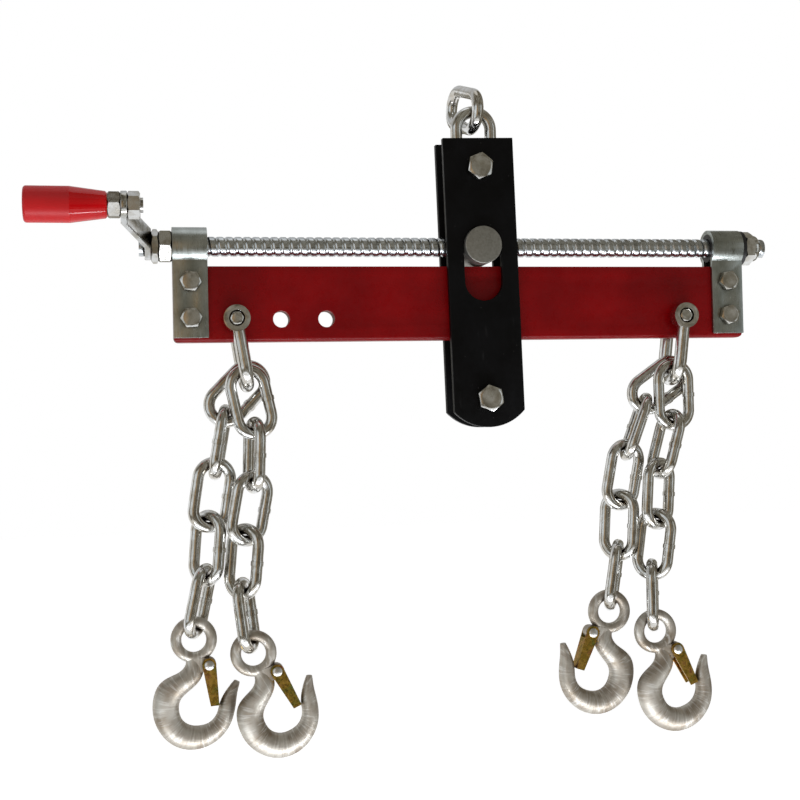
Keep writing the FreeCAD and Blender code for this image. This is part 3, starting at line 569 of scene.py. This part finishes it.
@dataclass(frozen=True)
class TurnedSteel(Finish):
    """Turned bar steel: grey, with rings left by the tool round the bar's axis."""

    name: str = "turned_bar_steel"
    centre: Point = (0.0, 0.0, 0.0)
    ring_mm: float = 4.4
    wave_step: float = 20.0

    def shade(self, on: Layers) -> Node:
        """Grey steel with tool rings and pits.

        Args:
            on: Layers to use.

        Returns:
            The steel's shader.
        """
        # Tool rings are far finer, and drawn this far apart so that they show. The wave texture
        # has wave_step radians in one unit of its scale
        rings = on.add("TexWave",
                       {"wave_type": "RINGS", "rings_direction": "Y", "Distortion": 0.6,
                        "Detail": 2.0, "Scale": math.tau * per_mm(self.ring_mm) / self.wave_step},
                       {"Vector": on.centred(self.centre)}).outputs["Fac"]
        tone = on.drift([(0.3, "#8C8B85"), (0.7, "#A09F99")], size_mm=1.6, detail=6.0)
        gloss = on.drift([(0.3, 0.4), (0.7, 0.56)], size_mm=1.2, detail=5.0)
        cut = on.add("Bump", {"Distance": 0.03 * MM, "Strength": 0.35},
                     {"Height": rings}).outputs["Normal"]
        pits = on.relief(cut, size_mm=0.7, detail=3.0, depth_mm=0.05, strength=0.4)
        return on.add("BsdfPrincipled", {"Metallic": 0.9},
                      {"Base Color": tone, "Roughness": gloss, "Normal": pits})


@dataclass(frozen=True)
class BushNylon(Finish):
    """Moulded black nylon bush: matt with a fine grain."""

    name: str = "moulded_black_nylon"

    def shade(self, on: Layers) -> Node:
        """Matt black plastic, its grain drawn coarser than real so that it shows.

        Args:
            on: Layers to use.

        Returns:
            The plastic's shader.
        """
        tone = on.drift([(0.3, "#0E0E0F"), (0.7, "#1B1B1C")], size_mm=5.0, detail=4.0)
        grain = on.relief(None, size_mm=0.7, detail=3.0, depth_mm=0.04, strength=0.5)
        return on.add("BsdfPrincipled", {"Roughness": 0.46, "IOR": 1.53},
                      {"Base Color": tone, "Normal": grain})


@dataclass(frozen=True)
class DimRoom(Finish):
    """Unlit brown workshop round the leveler, seen only in the plating."""

    name: str = "dim_brown_room"
    dark: str = "#453B2E"
    mean: str = "#858072"
    light: str = "#A8A49B"

    def shade(self, on: Layers) -> Node:
        """Clouds of brown and grey, as a room's furniture is.

        Args:
            on: Layers to use.

        Returns:
            The room's own light.
        """
        stops = [(0.36, self.dark), (0.5, self.mean), (0.64, self.light)]
        tone = on.drift(stops, size_mm=420.0, detail=3.0)
        return on.add("Emission", {"Strength": 1.0}, {"Color": tone})


@dataclass(frozen=True)
class FloorWhite(Finish):
    """Matt white floor: it glows for the eye alone, and less near the shadow that it keeps."""

    name: str = "matt_white_floor"
    centre: Point = (0.0, 0.0, 0.0)
    white: float = 0.9
    near_m: float = 0.3
    far_m: float = 1.3
    near_glow: float = 0.46
    far_glow: float = 0.66

    def shade(self, on: Layers) -> Node:
        """Matt white with a glow that grows away from the leveler.

        Args:
            on: Layers to use.

        Returns:
            The floor's shader.
        """
        away = on.add("VectorMath", {"operation": "LENGTH"},
                      {0: on.centred(self.centre)}).outputs["Value"]
        fade = on.add("MapRange",
                      {"From Min": self.near_m, "From Max": self.far_m,
                       "To Min": self.near_glow, "To Max": self.far_glow}, {"Value": away})
        share = on.add("Math", {"operation": "MULTIPLY"},
                       {0: on.seen(), 1: fade.outputs["Result"]}).outputs[0]
        matt = on.add("BsdfDiffuse", {"Color": grey(self.white)})
        glow = on.add("Emission", {"Color": grey(1.0)}, {"Strength": share})
        return on.add("AddShader", None, {0: matt.outputs[0], 1: glow.outputs[0]})


ZINC = BrightZinc()
# The fastener, thread and rivet platings each darken their hollows with a brown painted shade of
# their own
NUT_ZINC = BrightZinc("bright_zinc_plated_fastener", light="#D2D3D2", dull="#B4B1A9",
                      hollow_shade="#6A5D4C", rough=(0.12, 0.26))
THREAD_ZINC = BrightZinc("bright_zinc_plated_thread", light="#CDD2D5", dull="#B0B4B6",
                         hollow_shade="#4A463F", rough=(0.18, 0.32))
CHAIN_ZINC = BrightZinc("bright_zinc_plated_chain", light="#D6D7D6", dull="#B9B4AA", dent_mm=0.3)
RIVET_ZINC = BrightZinc("bright_zinc_plated_rivet", light="#D6D7D6", dull="#C0BEB8",
                        hollow_shade="#6A5D4C", rough=(0.3, 0.42))
SHEET = SheetZinc()
GOLD = YellowZinc()
ENAMEL = BeamEnamel()
BLACK = PlateBlack()
NYLON = BushNylon()
ROOM = DimRoom()
WINDOW = DimRoom("bright_side_window", "#C9D0D3", "#E4EAEC", "#FFFFFF")
PANEL = DimRoom("lit_wooden_panel", "#7A6146", "#A58863", "#BFA684")
CEILING = DimRoom("pale_grey_ceiling", "#B9B8B5", "#CBCBCB", "#D8D9DB")


def dress(node: str, finish: Finish) -> None:
    """Give a CAD node a finish.

    Args:
        node: Name of the node.
        finish: Surface finish.
    """
    mesh = NODES[node].data
    mesh.materials.clear()
    mesh.materials.append(finish.build())
    log.info("%s dressed in %s", node, finish.name)


def link_object(bm: Shape, name: str) -> bpy.types.Object:
    """Turn a bmesh into an object of the scene.

    Args:
        bm: Finished shape; freed here.
        name: Name of the object.

    Returns:
        The new object.
    """
    mesh = bpy.data.meshes.new(name)
    bm.to_mesh(mesh)
    bm.free()
    made = bpy.data.objects.new(name, mesh)
    bpy.context.scene.collection.objects.link(made)
    return made


def finish_piece(bm: Shape, name: str, body: str, finish: Finish,
                 nodes: tuple[str, ...], smooth_deg: float = 32.0) -> None:
    """Turn a bmesh into a piece that rides on a body and stands for CAD nodes.

    Args:
        bm: Finished shape in the row frame; freed here.
        name: Name of the piece.
        body: Body that carries it.
        finish: Surface finish.
        nodes: CAD nodes that the piece stands for.
        smooth_deg: Edges sharper than this stay sharp.
    """
    bmesh.ops.recalc_face_normals(bm, faces=bm.faces)
    for face in bm.faces:
        face.smooth = True
    limit = math.radians(smooth_deg)
    for edge in bm.edges:
        edge.smooth = len(edge.link_faces) == 2 and edge.calc_face_angle(0.0) < limit
    piece = link_object(bm, name)
    piece.data.materials.append(finish.build())
    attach(piece, body)
    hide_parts(*nodes)
    log.info("%s made with %d faces", name, len(piece.data.polygons))


def welded_copy(node: str) -> Shape:
    """Copy a CAD node's mesh and join its loose triangles.

    Args:
        node: Name of the node.

    Returns:
        The copy.
    """
    bm = bmesh.new()
    bm.from_mesh(NODES[node].data)
    bmesh.ops.remove_doubles(bm, verts=bm.verts, dist=WELD)
    return bm


def slice_off(bm: Shape, point: Vector, outward: Vector) -> None:
    """Cut away what lies beyond a plane and close the cut.

    Args:
        bm: Shape to cut.
        point: Point on the plane.
        outward: Direction of the part that goes.
    """
    cut = bmesh.ops.bisect_plane(bm, geom=[*bm.verts, *bm.edges, *bm.faces], dist=CUT,
                                 plane_co=point, plane_no=outward, clear_outer=True)
    rim = [e for e in cut["geom_cut"] if isinstance(e, bmesh.types.BMEdge)]
    bmesh.ops.edgeloop_fill(bm, edges=rim)


def solids_of(node: str) -> list[Box]:
    """Corners of each separate solid of a CAD node.

    Args:
        node: Name of the node.

    Returns:
        Lowest and highest corner of each solid, in the order of X, then Z.
    """
    bm = welded_copy(node)
    left = set(bm.verts)
    found = []
    while left:
        todo = [left.pop()]
        points = []
        while todo:
            vert = todo.pop()
            points.append(vert.co.copy())
            for edge in vert.link_edges:
                other = edge.other_vert(vert)
                if other in left:
                    left.remove(other)
                    todo.append(other)
        low = Vector([min(p[i] for p in points) for i in range(3)])
        high = Vector([max(p[i] for p in points) for i in range(3)])
        found.append((low, high))
    bm.free()
    return sorted(found, key=lambda box: (round(box[0].x, 4), round(box[0].z, 4)))


@dataclass
class EasedSolid:
    """Rigid CAD node whose sharp edges are eased as the real piece's are."""

    node: str
    body: str
    finish: Finish
    slot: str
    radius_mm: float
    foot_mm: float = 0.0
    ends_only: bool = False
    flat_deg: float = 0.6
    sharp_deg: float = 38.0
    smooth_deg: float = 40.0
    segments: int = 4

    def sharp_edges(self, bm: Shape, below: float) -> list[bmesh.types.BMEdge]:
        """Edges to ease.

        Args:
            bm: Shape of the node.
            below: Height under which the edges have to lie.

        Returns:
            Sharp edges, or those of the front and rear ends alone.
        """
        limit = math.radians(self.sharp_deg)
        ends = min(v.co.y for v in bm.verts), max(v.co.y for v in bm.verts)
        return [e for e in bm.edges
                if len(e.link_faces) == 2 and e.calc_face_angle(0.0) > limit
                and max(v.co.z for v in e.verts) < below
                and (not self.ends_only or self.on_end(e, ends))]

    def on_end(self, edge: bmesh.types.BMEdge, ends: tuple[float, float]) -> bool:
        """Whether an edge lies on the front or the rear end of the piece."""
        return any(all(abs(v.co.y - end) < END_SLACK for v in edge.verts) for end in ends)

    def build(self) -> None:
        """Make the eased piece in place of its node, its lowest edges by the foot's own radius."""
        bm = welded_copy(self.node)
        bmesh.ops.dissolve_limit(bm, angle_limit=math.radians(self.flat_deg), verts=bm.verts,
                                 edges=bm.edges)
        foot = min(v.co.z for v in bm.verts) + FOOT_SLACK
        for radius, below in ((self.foot_mm, foot), (self.radius_mm, math.inf)):
            if radius:
                bmesh.ops.bevel(bm, geom=self.sharp_edges(bm, below), offset=radius * MM,
                                offset_type="OFFSET", affect="EDGES", segments=self.segments,
                                profile=0.5, material=-1, clamp_overlap=True, loop_slide=True)
        finish_piece(bm, f"{self.node}_eased", self.body, self.finish, (self.node,),
                     self.smooth_deg)


@dataclass
class HexPiece:
    """Hexagon bolt, nut or lock nut, turned from bar and cut to its flats, or a round rivet."""

    kind: Fastening
    base: Vector
    axis: Vector
    flats_mm: float
    height_mm: float
    shank_mm: float = 0.0
    length_mm: float = 0.0
    thread_mm: float = 0.0
    spin_deg: float = 0.0
    pitch_mm: float = 1.25
    face_share: float = 0.475
    crown_share: float = 0.435
    chamfer_deg: float = 30.0
    washer_mm: float = 0.35
    root_mm: float = 0.55
    point_mm: float = 1.0
    steps: int = 48

    def rings(self) -> list[Ring]:
        """Turned outline, from the shank's end to the top.

        Returns:
            Radius and height of each ring in millimetres.
        """
        corner, face = self.flats_mm / math.sqrt(3), self.flats_mm * self.face_share
        fall = math.tan(math.radians(self.chamfer_deg))
        slope = (corner - face) * fall
        top, bore = self.height_mm, self.shank_mm / 2
        if self.kind is Fastening.RIVET:
            head = [(0.0, 0.0), (1.5, 0.12), (2.6, 0.45), (3.3, 1.0), (3.5, 1.6), (bore, 1.6)]
            return [*head, *((radius, top - height) for radius, height in reversed(head))]
        if self.kind is Fastening.BOLT:
            crown = self.flats_mm * self.crown_share
            dome = top + DOME_MM
            return [*self.shank(), (face, 0.0), (face, self.washer_mm), (corner, self.washer_mm),
                    (corner, top - (corner - crown) * fall), (crown, top), (crown * 0.94, dome),
                    (0.0, dome)]
        if self.kind is Fastening.NUT:
            return [(bore, 0.0), (face, 0.0), (corner, slope), (corner, top - slope), (face, top),
                    (bore + 0.7, top), (bore, top - 0.7)]
        # The collar above the hexagon holds the locking ring
        hexagon, collar = top * 0.66, self.flats_mm * 0.44
        return [(bore, 0.0), (face, 0.0), (corner, slope), (corner, hexagon - slope),
                (face, hexagon), (collar, hexagon + 0.2), (collar, top - 1.6),
                (collar - 0.6, top - 0.6), (collar - 1.8, top), (bore + 0.9, top),
                (bore, top - 0.9)]

    def shank(self) -> list[Ring]:
        """Outline of the shank with the thread grooves near its end.

        Returns:
            Radius and height of each ring in millimetres.
        """
        radius, end = self.shank_mm / 2, -self.length_mm
        rings: list[Ring] = [(0.0, end), (radius - self.point_mm, end)]
        turns = max(1, round(self.thread_mm / self.pitch_mm))
        for turn in range(turns):
            low = end + 0.6 + turn * self.pitch_mm
            rings += [(radius - self.root_mm, low), (radius, low + self.pitch_mm * 0.4),
                      (radius, low + self.pitch_mm * 0.55)]
        return [*rings, (radius, end + 0.9 + turns * self.pitch_mm), (radius, 0.0)]

    def add_to(self, bm: Shape) -> None:
        """Add the piece to a bmesh.

        Args:
            bm: Bmesh that takes it, in the row frame.
        """
        own = bmesh.new()
        verts = [own.verts.new((radius * MM, 0.0, height * MM)) for radius, height in self.rings()]
        edges = [own.edges.new(pair) for pair in zip(verts, verts[1:])]
        if self.kind in (Fastening.NUT, Fastening.LOCK_NUT):
            edges.append(own.edges.new((verts[-1], verts[0])))
        bmesh.ops.spin(own, geom=[*verts, *edges], cent=(0, 0, 0), axis=(0, 0, 1), dvec=(0, 0, 0),
                       angle=math.tau, steps=self.steps, use_merge=True)
        bmesh.ops.remove_doubles(own, verts=own.verts, dist=SEAM)
        for side in range(0 if self.kind is Fastening.RIVET else 6):
            angle = math.radians(60 * side + 30)
            outward = Vector((math.cos(angle), math.sin(angle), 0.0))
            slice_off(own, outward * (self.flats_mm / 2 * MM), outward)
        turn = Matrix.Rotation(math.radians(self.spin_deg), 4, "Z")
        stand = self.axis.to_track_quat("Z", "Y").to_matrix().to_4x4()
        bmesh.ops.transform(own, matrix=Matrix.Translation(self.base) @ stand @ turn,
                            verts=own.verts)
        mesh = bpy.data.meshes.new("hexagon_work")
        own.to_mesh(mesh)
        own.free()
        bm.from_mesh(mesh)
        bpy.data.meshes.remove(mesh)


def build_nuts(node: str, body: str, axis: Vector, places: Iterable[tuple[float, Box]],
               flats_mm: float, bore_mm: float, kind: Fastening = Fastening.NUT) -> None:
    """Make the nuts of one CAD node.

    Args:
        node: Name of the node.
        body: Body that carries the nuts.
        axis: Direction from the seat to the free end, along X or Y.
        places: Turn in degrees and box of each nut.
        flats_mm: Width over the flats.
        bore_mm: Width of the bore.
        kind: Nut or lock nut.
    """
    along = 0 if axis.x else 1
    bm = bmesh.new()
    for turn, (low, high) in places:
        base = middle((low, high))
        base[along] = low[along] if axis[along] > 0 else high[along]
        HexPiece(kind, base, axis, flats_mm, (high[along] - low[along]) / MM, bore_mm,
                 spin_deg=turn).add_to(bm)
    finish_piece(bm, f"{node}_turned", body, NUT_ZINC, (node,))


@dataclass
class BoltSet:
    """Like bolts of one body, with chamfered heads in front and nuts behind."""

    name: str
    body: str
    flats_mm: float
    head_mm: float
    shank_mm: float
    thread_mm: float
    pitch_mm: float
    bolt_turns: tuple[float, ...]
    nut_turns: tuple[float, ...]

    def build(self) -> None:
        """Make the bolts and then the nuts, each at the angle where tightening left it."""
        bolts, nuts = f"{self.name}_bolts", f"{self.name}_nuts"
        bm = bmesh.new()
        for turn, (low, high) in zip(self.bolt_turns, solids_of(bolts)):
            centre = middle((low, high))
            seat = low.y + self.head_mm * MM
            HexPiece(Fastening.BOLT, Vector((centre.x, seat, centre.z)), FRONT, self.flats_mm,
                     self.head_mm - DOME_MM, self.shank_mm, (high.y - seat) / MM,
                     self.thread_mm, turn, self.pitch_mm).add_to(bm)
        finish_piece(bm, f"{bolts}_turned", self.body, NUT_ZINC, (bolts,))
        build_nuts(nuts, self.body, REAR, zip(self.nut_turns, solids_of(nuts)), self.flats_mm,
                   self.shank_mm)


@dataclass
class Beam:
    """Flat bar with its end straps, strap bolts, nuts and screw bushes."""

    edge_mm: float = 1.0
    foot_mm: float = 3.2
    strap_edge_mm: float = 0.45
    fasteners: BoltSet = field(default_factory=lambda: BoltSet(
        "strap", "beam", flats_mm=13.0, head_mm=5.3, shank_mm=8.0, thread_mm=6.0, pitch_mm=1.25,
        bolt_turns=(4.0, -7.0, 16.0, 9.0), nut_turns=(12.0, 3.0, 22.0, -5.0)))

    def build(self) -> None:
        """Make and dress the beam body."""
        EasedSolid("lifting_beam", "beam", ENAMEL, "red_paint", self.edge_mm, self.foot_mm).build()
        for side in Side:
            EasedSolid(f"{side.value}_strap", "beam", SHEET, "bright_zinc",
                       self.strap_edge_mm).build()
        dress("screw_bushes", NYLON)
        self.fasteners.build()


@dataclass
class Screw:
    """Lead screw with rolled thread, its nuts, the crank arm and the hand grip."""

    lead_mm: float = 6.35
    depth_mm: float = 0.75
    clear_mm: float = 0.03
    crest_share: float = 0.6
    crest_fall: float = 0.12
    points: int = 14
    steps: int = 40
    smooth_deg: float = 50.0
    rod_mm: float = 14.0
    nut_flats_mm: float = 21.0
    thick_nut_mm: float = 9.0
    lock_flats_mm: float = 22.0
    grip_nut_flats_mm: float = 16.5
    grip_bolt_mm: float = 10.0
    arm_edge_mm: float = 0.8
    grip_body_mm: float = 30.0

    def build(self) -> None:
        """Make and dress the screw body and the grip."""
        self.build_thread()
        self.build_nuts()
        EasedSolid("crank_arm", "screw", ZINC, "bright_zinc", self.arm_edge_mm).build()
        dress("grip_bolt", ZINC)
        low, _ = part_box("crank_grip")
        dress("crank_grip", GripPlastic(seam=low.x + self.grip_body_mm * MM))

    def groove(self, share: float) -> float:
        """Depth of the rolled groove.

        Args:
            share: Share of the pitch, from 0 at the start of the crest to 1.

        Returns:
            Depth from 0 on the crest to 1 in the root.
        """
        if share < self.crest_share:
            return self.crest_fall * (2 * share / self.crest_share - 1) ** 4
        within = (share - self.crest_share) / (1 - self.crest_share)
        return self.crest_fall + (1 - self.crest_fall) * math.sin(math.pi * within) ** 0.8

    def build_thread(self) -> None:
        """Sweep the rolled groove round the rod and cut it off at both ends."""
        low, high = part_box("lead_screw")
        axis = middle((low, high))
        crest = axis.z + (high.z - low.z) / 2 - self.clear_mm * MM
        lead = self.lead_mm * MM
        start = low.x - 1.5 * lead
        turns = math.ceil((high.x - low.x) / lead) + 2
        bm = bmesh.new()
        verts = []
        for step in range(turns * self.points + 1):
            depth = self.groove(step % self.points / self.points) * self.depth_mm * MM
            verts.append(bm.verts.new((start + step * lead / self.points, axis.y, crest - depth)))
        edges = [bm.edges.new(pair) for pair in zip(verts, verts[1:])]
        bmesh.ops.spin(bm, geom=[*verts, *edges], cent=axis, axis=FAR_END,
                       dvec=(lead / self.steps, 0, 0), angle=math.tau, steps=self.steps,
                       use_merge=False)
        bmesh.ops.remove_doubles(bm, verts=bm.verts, dist=3 * SEAM)
        slice_off(bm, Vector((low.x, 0, 0)), CRANK_END)
        slice_off(bm, Vector((high.x, 0, 0)), FAR_END)
        finish_piece(bm, "lead_screw_threaded", "screw", THREAD_ZINC,
                     ("lead_screw",), self.smooth_deg)

    def build_nuts(self) -> None:
        """Nuts on the screw and on the grip bolt."""
        low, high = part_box("crank_nuts")
        split = high.x - self.thick_nut_mm * MM
        thick = Vector((split, low.y, low.z)), high
        thin = low, Vector((split, high.y, high.z))
        build_nuts("crank_nuts", "screw", CRANK_END, ((-3.0, thick), (28.0, thin)),
                   self.nut_flats_mm, self.rod_mm)
        build_nuts("lock_nut", "screw", FAR_END, ((30.0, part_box("lock_nut")),),
                   self.lock_flats_mm, self.rod_mm, Fastening.LOCK_NUT)
        build_nuts("grip_nuts", "screw", CRANK_END, zip((0.0, 30.0), solids_of("grip_nuts")),
                   self.grip_nut_flats_mm, self.grip_bolt_mm)


@dataclass
class Carriage:
    """Side plates on the trunnion nut, with the lift bolt, the roller bolt and the roller."""

    plate_edge_mm: float = 0.7
    bar_edge_mm: float = 0.6
    fasteners: BoltSet = field(default_factory=lambda: BoltSet(
        "carriage", "carriage", flats_mm=17.0, head_mm=6.4, shank_mm=10.0, thread_mm=9.0,
        pitch_mm=1.5, bolt_turns=(21.5, 39.0), nut_turns=(17.0, 5.0)))

    def build(self) -> None:
        """Make and dress the carriage, the trunnion and the roller."""
        for node in ("front_plate", "rear_plate"):
            EasedSolid(node, "carriage", BLACK, "black_paint", self.plate_edge_mm).build()
        self.fasteners.build()
        for node, body in (("trunnion_nut", "trunnion"), ("carriage_roller", "roller")):
            steel = TurnedSteel(f"turned_bar_steel_{node}", tuple(middle(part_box(node))))
            EasedSolid(node, body, steel, "plain_steel", self.bar_edge_mm, ends_only=True).build()


@dataclass
class Rigging:
    """Lift links, shackles with their pins, chains, hooks and latches."""

    ear_edge_mm: float = 1.6
    pin_mm: float = 11.1
    pin_head_mm: float = 6.0
    pin_flats_mm: float = 15.0
    pin_recess_mm: float = 1.4
    pin_groove_mm: float = 0.6
    end_flats_mm: float = 8.4
    end_height_mm: float = 1.7
    end_seat_mm: float = 1.9
    end_shank_mm: float = 5.0
    end_length_mm: float = 2.0
    rivet_mm: float = 5.0
    strands: tuple[str, ...] = ("left_rear", "left_front", "right_rear", "right_front")
    links: int = 5

    def build(self) -> None:
        """Make and dress everything that hangs on the beam and the lift bolt."""
        for node in ("lower_lift_link", "upper_lift_link"):
            dress(node, CHAIN_ZINC)
        for side in Side:
            EasedSolid(f"{side.value}_shackle_bow", f"{side.value}_shackle", CHAIN_ZINC,
                       "bright_zinc", self.ear_edge_mm).build()
            self.build_pin(side)
        mounts = {mount["name"]: mount["pos_m"] for mount in frame["record"]["mounts"]}
        for strand in self.strands:
            for number in range(1, self.links + 1):
                dress(f"{strand}_link_{number}", CHAIN_ZINC)
            throat = tuple(mounts[f"{strand}_throat"])
            dress(f"{strand}_hook", ForgedZinc(f"galvanised_forging_{strand}", throat))
            dress(f"{strand}_latch", GOLD)
            self.build_rivet(strand)

    def build_rivet(self, strand: str) -> None:
        """Domed rivet through the latch.

        Args:
            strand: Strand whose hook carries it.
        """
        node = f"{strand}_rivet"
        low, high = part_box(node)
        centre = middle((low, high))
        bm = bmesh.new()
        HexPiece(Fastening.RIVET, Vector((centre.x, low.y, centre.z)), REAR, 0.0,
                 (high.y - low.y) / MM, self.rivet_mm).add_to(bm)
        finish_piece(bm, f"{node}_domed", f"{strand}_hook", RIVET_ZINC, (node,))

    def build_pin(self, side: Side) -> None:
        """Shackle pin: hexagon head behind, recessed hexagon end in front.

        Args:
            side: End of the beam.
        """
        node = f"{side.value}_shackle_pin"
        low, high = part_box(node)
        centre = middle((low, high))
        seat = high.y - self.pin_head_mm * MM
        bm = bmesh.new()
        HexPiece(Fastening.BOLT, Vector((centre.x, seat, centre.z)), REAR, self.pin_flats_mm,
                 self.pin_head_mm - DOME_MM, self.pin_mm,
                 (seat - low.y) / MM - self.pin_recess_mm, self.pin_groove_mm,
                 spin_deg=8.0).add_to(bm)
        end = Vector((centre.x, low.y + self.end_seat_mm * MM, centre.z))
        HexPiece(Fastening.BOLT, end, FRONT, self.end_flats_mm, self.end_height_mm,
                 self.end_shank_mm, self.end_length_mm, self.pin_groove_mm, spin_deg=6.0,
                 pitch_mm=1.0).add_to(bm)
        finish_piece(bm, f"{node}_turned", f"{side.value}_shackle", NUT_ZINC,
                     (node,))


@dataclass(frozen=True)
class MirrorCard:
    """Curved wall round the leveler that only mirrors see."""

    name: str
    outline: tuple[Ring, ...]
    first_deg: float
    sweep_deg: float
    finish: Finish
    steps: int = 24

    def build(self, centre: Vector) -> None:
        """Sweep the outline round the leveler.

        Args:
            centre: Middle of the leveler.
        """
        bm = bmesh.new()
        verts = [bm.verts.new((radius, 0.0, height)) for radius, height in self.outline]
        edges = [bm.edges.new(pair) for pair in zip(verts, verts[1:])]
        bmesh.ops.rotate(bm, verts=verts, cent=(0, 0, 0),
                         matrix=Matrix.Rotation(math.radians(self.first_deg), 3, "Z"))
        bmesh.ops.spin(bm, geom=[*verts, *edges], cent=(0, 0, 0), axis=(0, 0, 1), dvec=(0, 0, 0),
                       angle=math.radians(self.sweep_deg), steps=self.steps, use_merge=False)
        bmesh.ops.translate(bm, verts=bm.verts, vec=(centre.x, centre.y, 0.0))
        room = link_object(bm, self.name)
        room.visible_camera = False
        room.visible_diffuse = False
        room.visible_shadow = False
        room.data.materials.append(self.finish.build())


@dataclass(frozen=True)
class SoftBox:
    """Lamp that faces the middle of the leveler."""

    name: str
    offset: Point
    size: tuple[float, float]
    watts: float
    colour: str = "#FFFFFF"
    mirrored: bool = False

    def build(self, centre: Vector) -> None:
        """Hang the lamp.

        Args:
            centre: Middle of the leveler.
        """
        lamp = bpy.data.lights.new(self.name, "AREA")
        lamp.shape = "RECTANGLE"
        lamp.size, lamp.size_y = self.size
        lamp.energy = self.watts
        lamp.color = linear(self.colour)[:3]
        holder = bpy.data.objects.new(self.name, lamp)
        offset = Vector(self.offset)
        holder.location = centre + offset
        holder.rotation_euler = (-offset).to_track_quat("-Z", "Y").to_euler()
        holder.visible_camera = False
        holder.visible_glossy = self.mirrored
        bpy.context.scene.collection.objects.link(holder)


@dataclass
class Studio:
    """Camera, white surroundings, floor, the dim room that bright metal mirrors, and lamps."""

    eye: Vector = field(default_factory=lambda: Vector((-0.2372, -0.9762, -0.2401)))
    yaw_deg: float = 11.05
    pitch_deg: float = 1.12
    roll_deg: float = -1.28
    lens_mm: float = 59.9
    sensor_mm: float = 36.0
    fill: float = 0.41
    floor_drop: float = 0.45
    floor_half: float = 8.0
    wall_lift: float = 0.02
    lamps: tuple[SoftBox, ...] = (
        SoftBox("low_window", (0.0, -0.34, -0.62), (1.1, 0.09), 5.0, "#F4F8FF", mirrored=True),
        SoftBox("high_box", (-0.5, -1.0, 1.3), (1.4, 1.4), 2.5),
        SoftBox("rear_box", (0.6, 1.2, 0.9), (1.2, 1.2), 9.0))

    def build(self) -> None:
        """Set up the whole stage."""
        self.build_camera()
        self.build_world()
        self.build_floor()
        self.build_room()
        for lamp in self.lamps:
            lamp.build(middle(CAD_BOX))
        bpy.context.scene.view_settings.view_transform = "Standard"

    def build_camera(self) -> None:
        """Camera where the photograph was taken from."""
        yaw, pitch, roll = (math.radians(a) for a in (self.yaw_deg, self.pitch_deg, self.roll_deg))
        ahead = Vector((math.sin(yaw) * math.cos(pitch), math.cos(yaw) * math.cos(pitch),
                        math.sin(pitch)))
        right = Vector((math.cos(yaw), -math.sin(yaw), 0.0))
        up = right.cross(ahead)
        level = right * math.cos(roll) + up * math.sin(roll)
        upright = up * math.cos(roll) - right * math.sin(roll)
        camera = bpy.data.objects.new("camera", bpy.data.cameras.new("camera"))
        camera.data.sensor_width = self.sensor_mm
        camera.data.lens = self.lens_mm
        camera.data.clip_start = 0.01
        camera.data.clip_end = 50.0
        axes = Matrix((level, upright, -ahead)).transposed().to_4x4()
        camera.matrix_world = Matrix.Translation(self.eye) @ axes
        bpy.context.scene.collection.objects.link(camera)
        bpy.context.scene.camera = camera

    def build_world(self) -> None:
        """White surroundings for the eye and for mirrors, softer for the light they give."""
        world = bpy.data.worlds.new("studio")
        bpy.context.scene.world = world
        world.use_nodes = True
        world.node_tree.nodes.clear()
        on = Layers(world.node_tree)
        strength = on.add("MapRange", {"To Min": self.fill, "To Max": 1.0},
                          {"Value": on.seen()}).outputs[0]
        back = on.add("Background", {"Color": grey(1.0)}, {"Strength": strength})
        on.add("OutputWorld", None, {"Surface": back.outputs[0]})

    def build_floor(self) -> None:
        """Pale floor under the hooks that keeps a soft shadow."""
        centre = middle(CAD_BOX)
        centre.z = CAD_BOX[0].z - self.floor_drop
        bm = bmesh.new()
        bmesh.ops.create_grid(bm, x_segments=1, y_segments=1, size=self.floor_half)
        bmesh.ops.translate(bm, verts=bm.verts, vec=centre)
        floor = link_object(bm, "floor")
        floor.data.materials.append(FloorWhite(centre=tuple(centre)).build())

    def build_room(self) -> None:
        """What the plating mirrors: a dim room, its windows and panel, and a card behind."""
        centre = middle(CAD_BOX)
        foot, level = CAD_BOX[0].z - self.floor_drop + self.wall_lift, centre.z
        wall = ((1.05, foot), (1.7, foot), (1.9, level + 0.3), (1.3, level + 1.3),
                (0.45, level + 1.7))
        window = ((1.55, foot + 0.1), (1.55, level + 0.8))
        card = ((1.7, level - 0.4), (1.7, level + 0.6))
        ceiling = ((1.8, level + 0.8), (0.5, level + 1.8))
        for part in (MirrorCard("front_room", wall, 172.0, 240.0, ROOM),
                     MirrorCard("left_window", window, 192.0, 44.0, WINDOW),
                     MirrorCard("left_panel", window, 238.0, 22.0, PANEL),
                     MirrorCard("right_window", window, 318.0, 17.0, WINDOW),
                     MirrorCard("rear_card", card, 65.0, 50.0, ROOM),
                     MirrorCard("rear_ceiling", ceiling, 52.0, 120.0, CEILING)):
            part.build(centre)


def main() -> None:
    """Build each sub-assembly, then the stage."""
    logging.basicConfig(level=logging.INFO, format="%(name)s: %(message)s")
    for assembly in (Beam(), Screw(), Carriage(), Rigging(), Studio()):
        assembly.build()


if __name__ == "__main__":
    main()
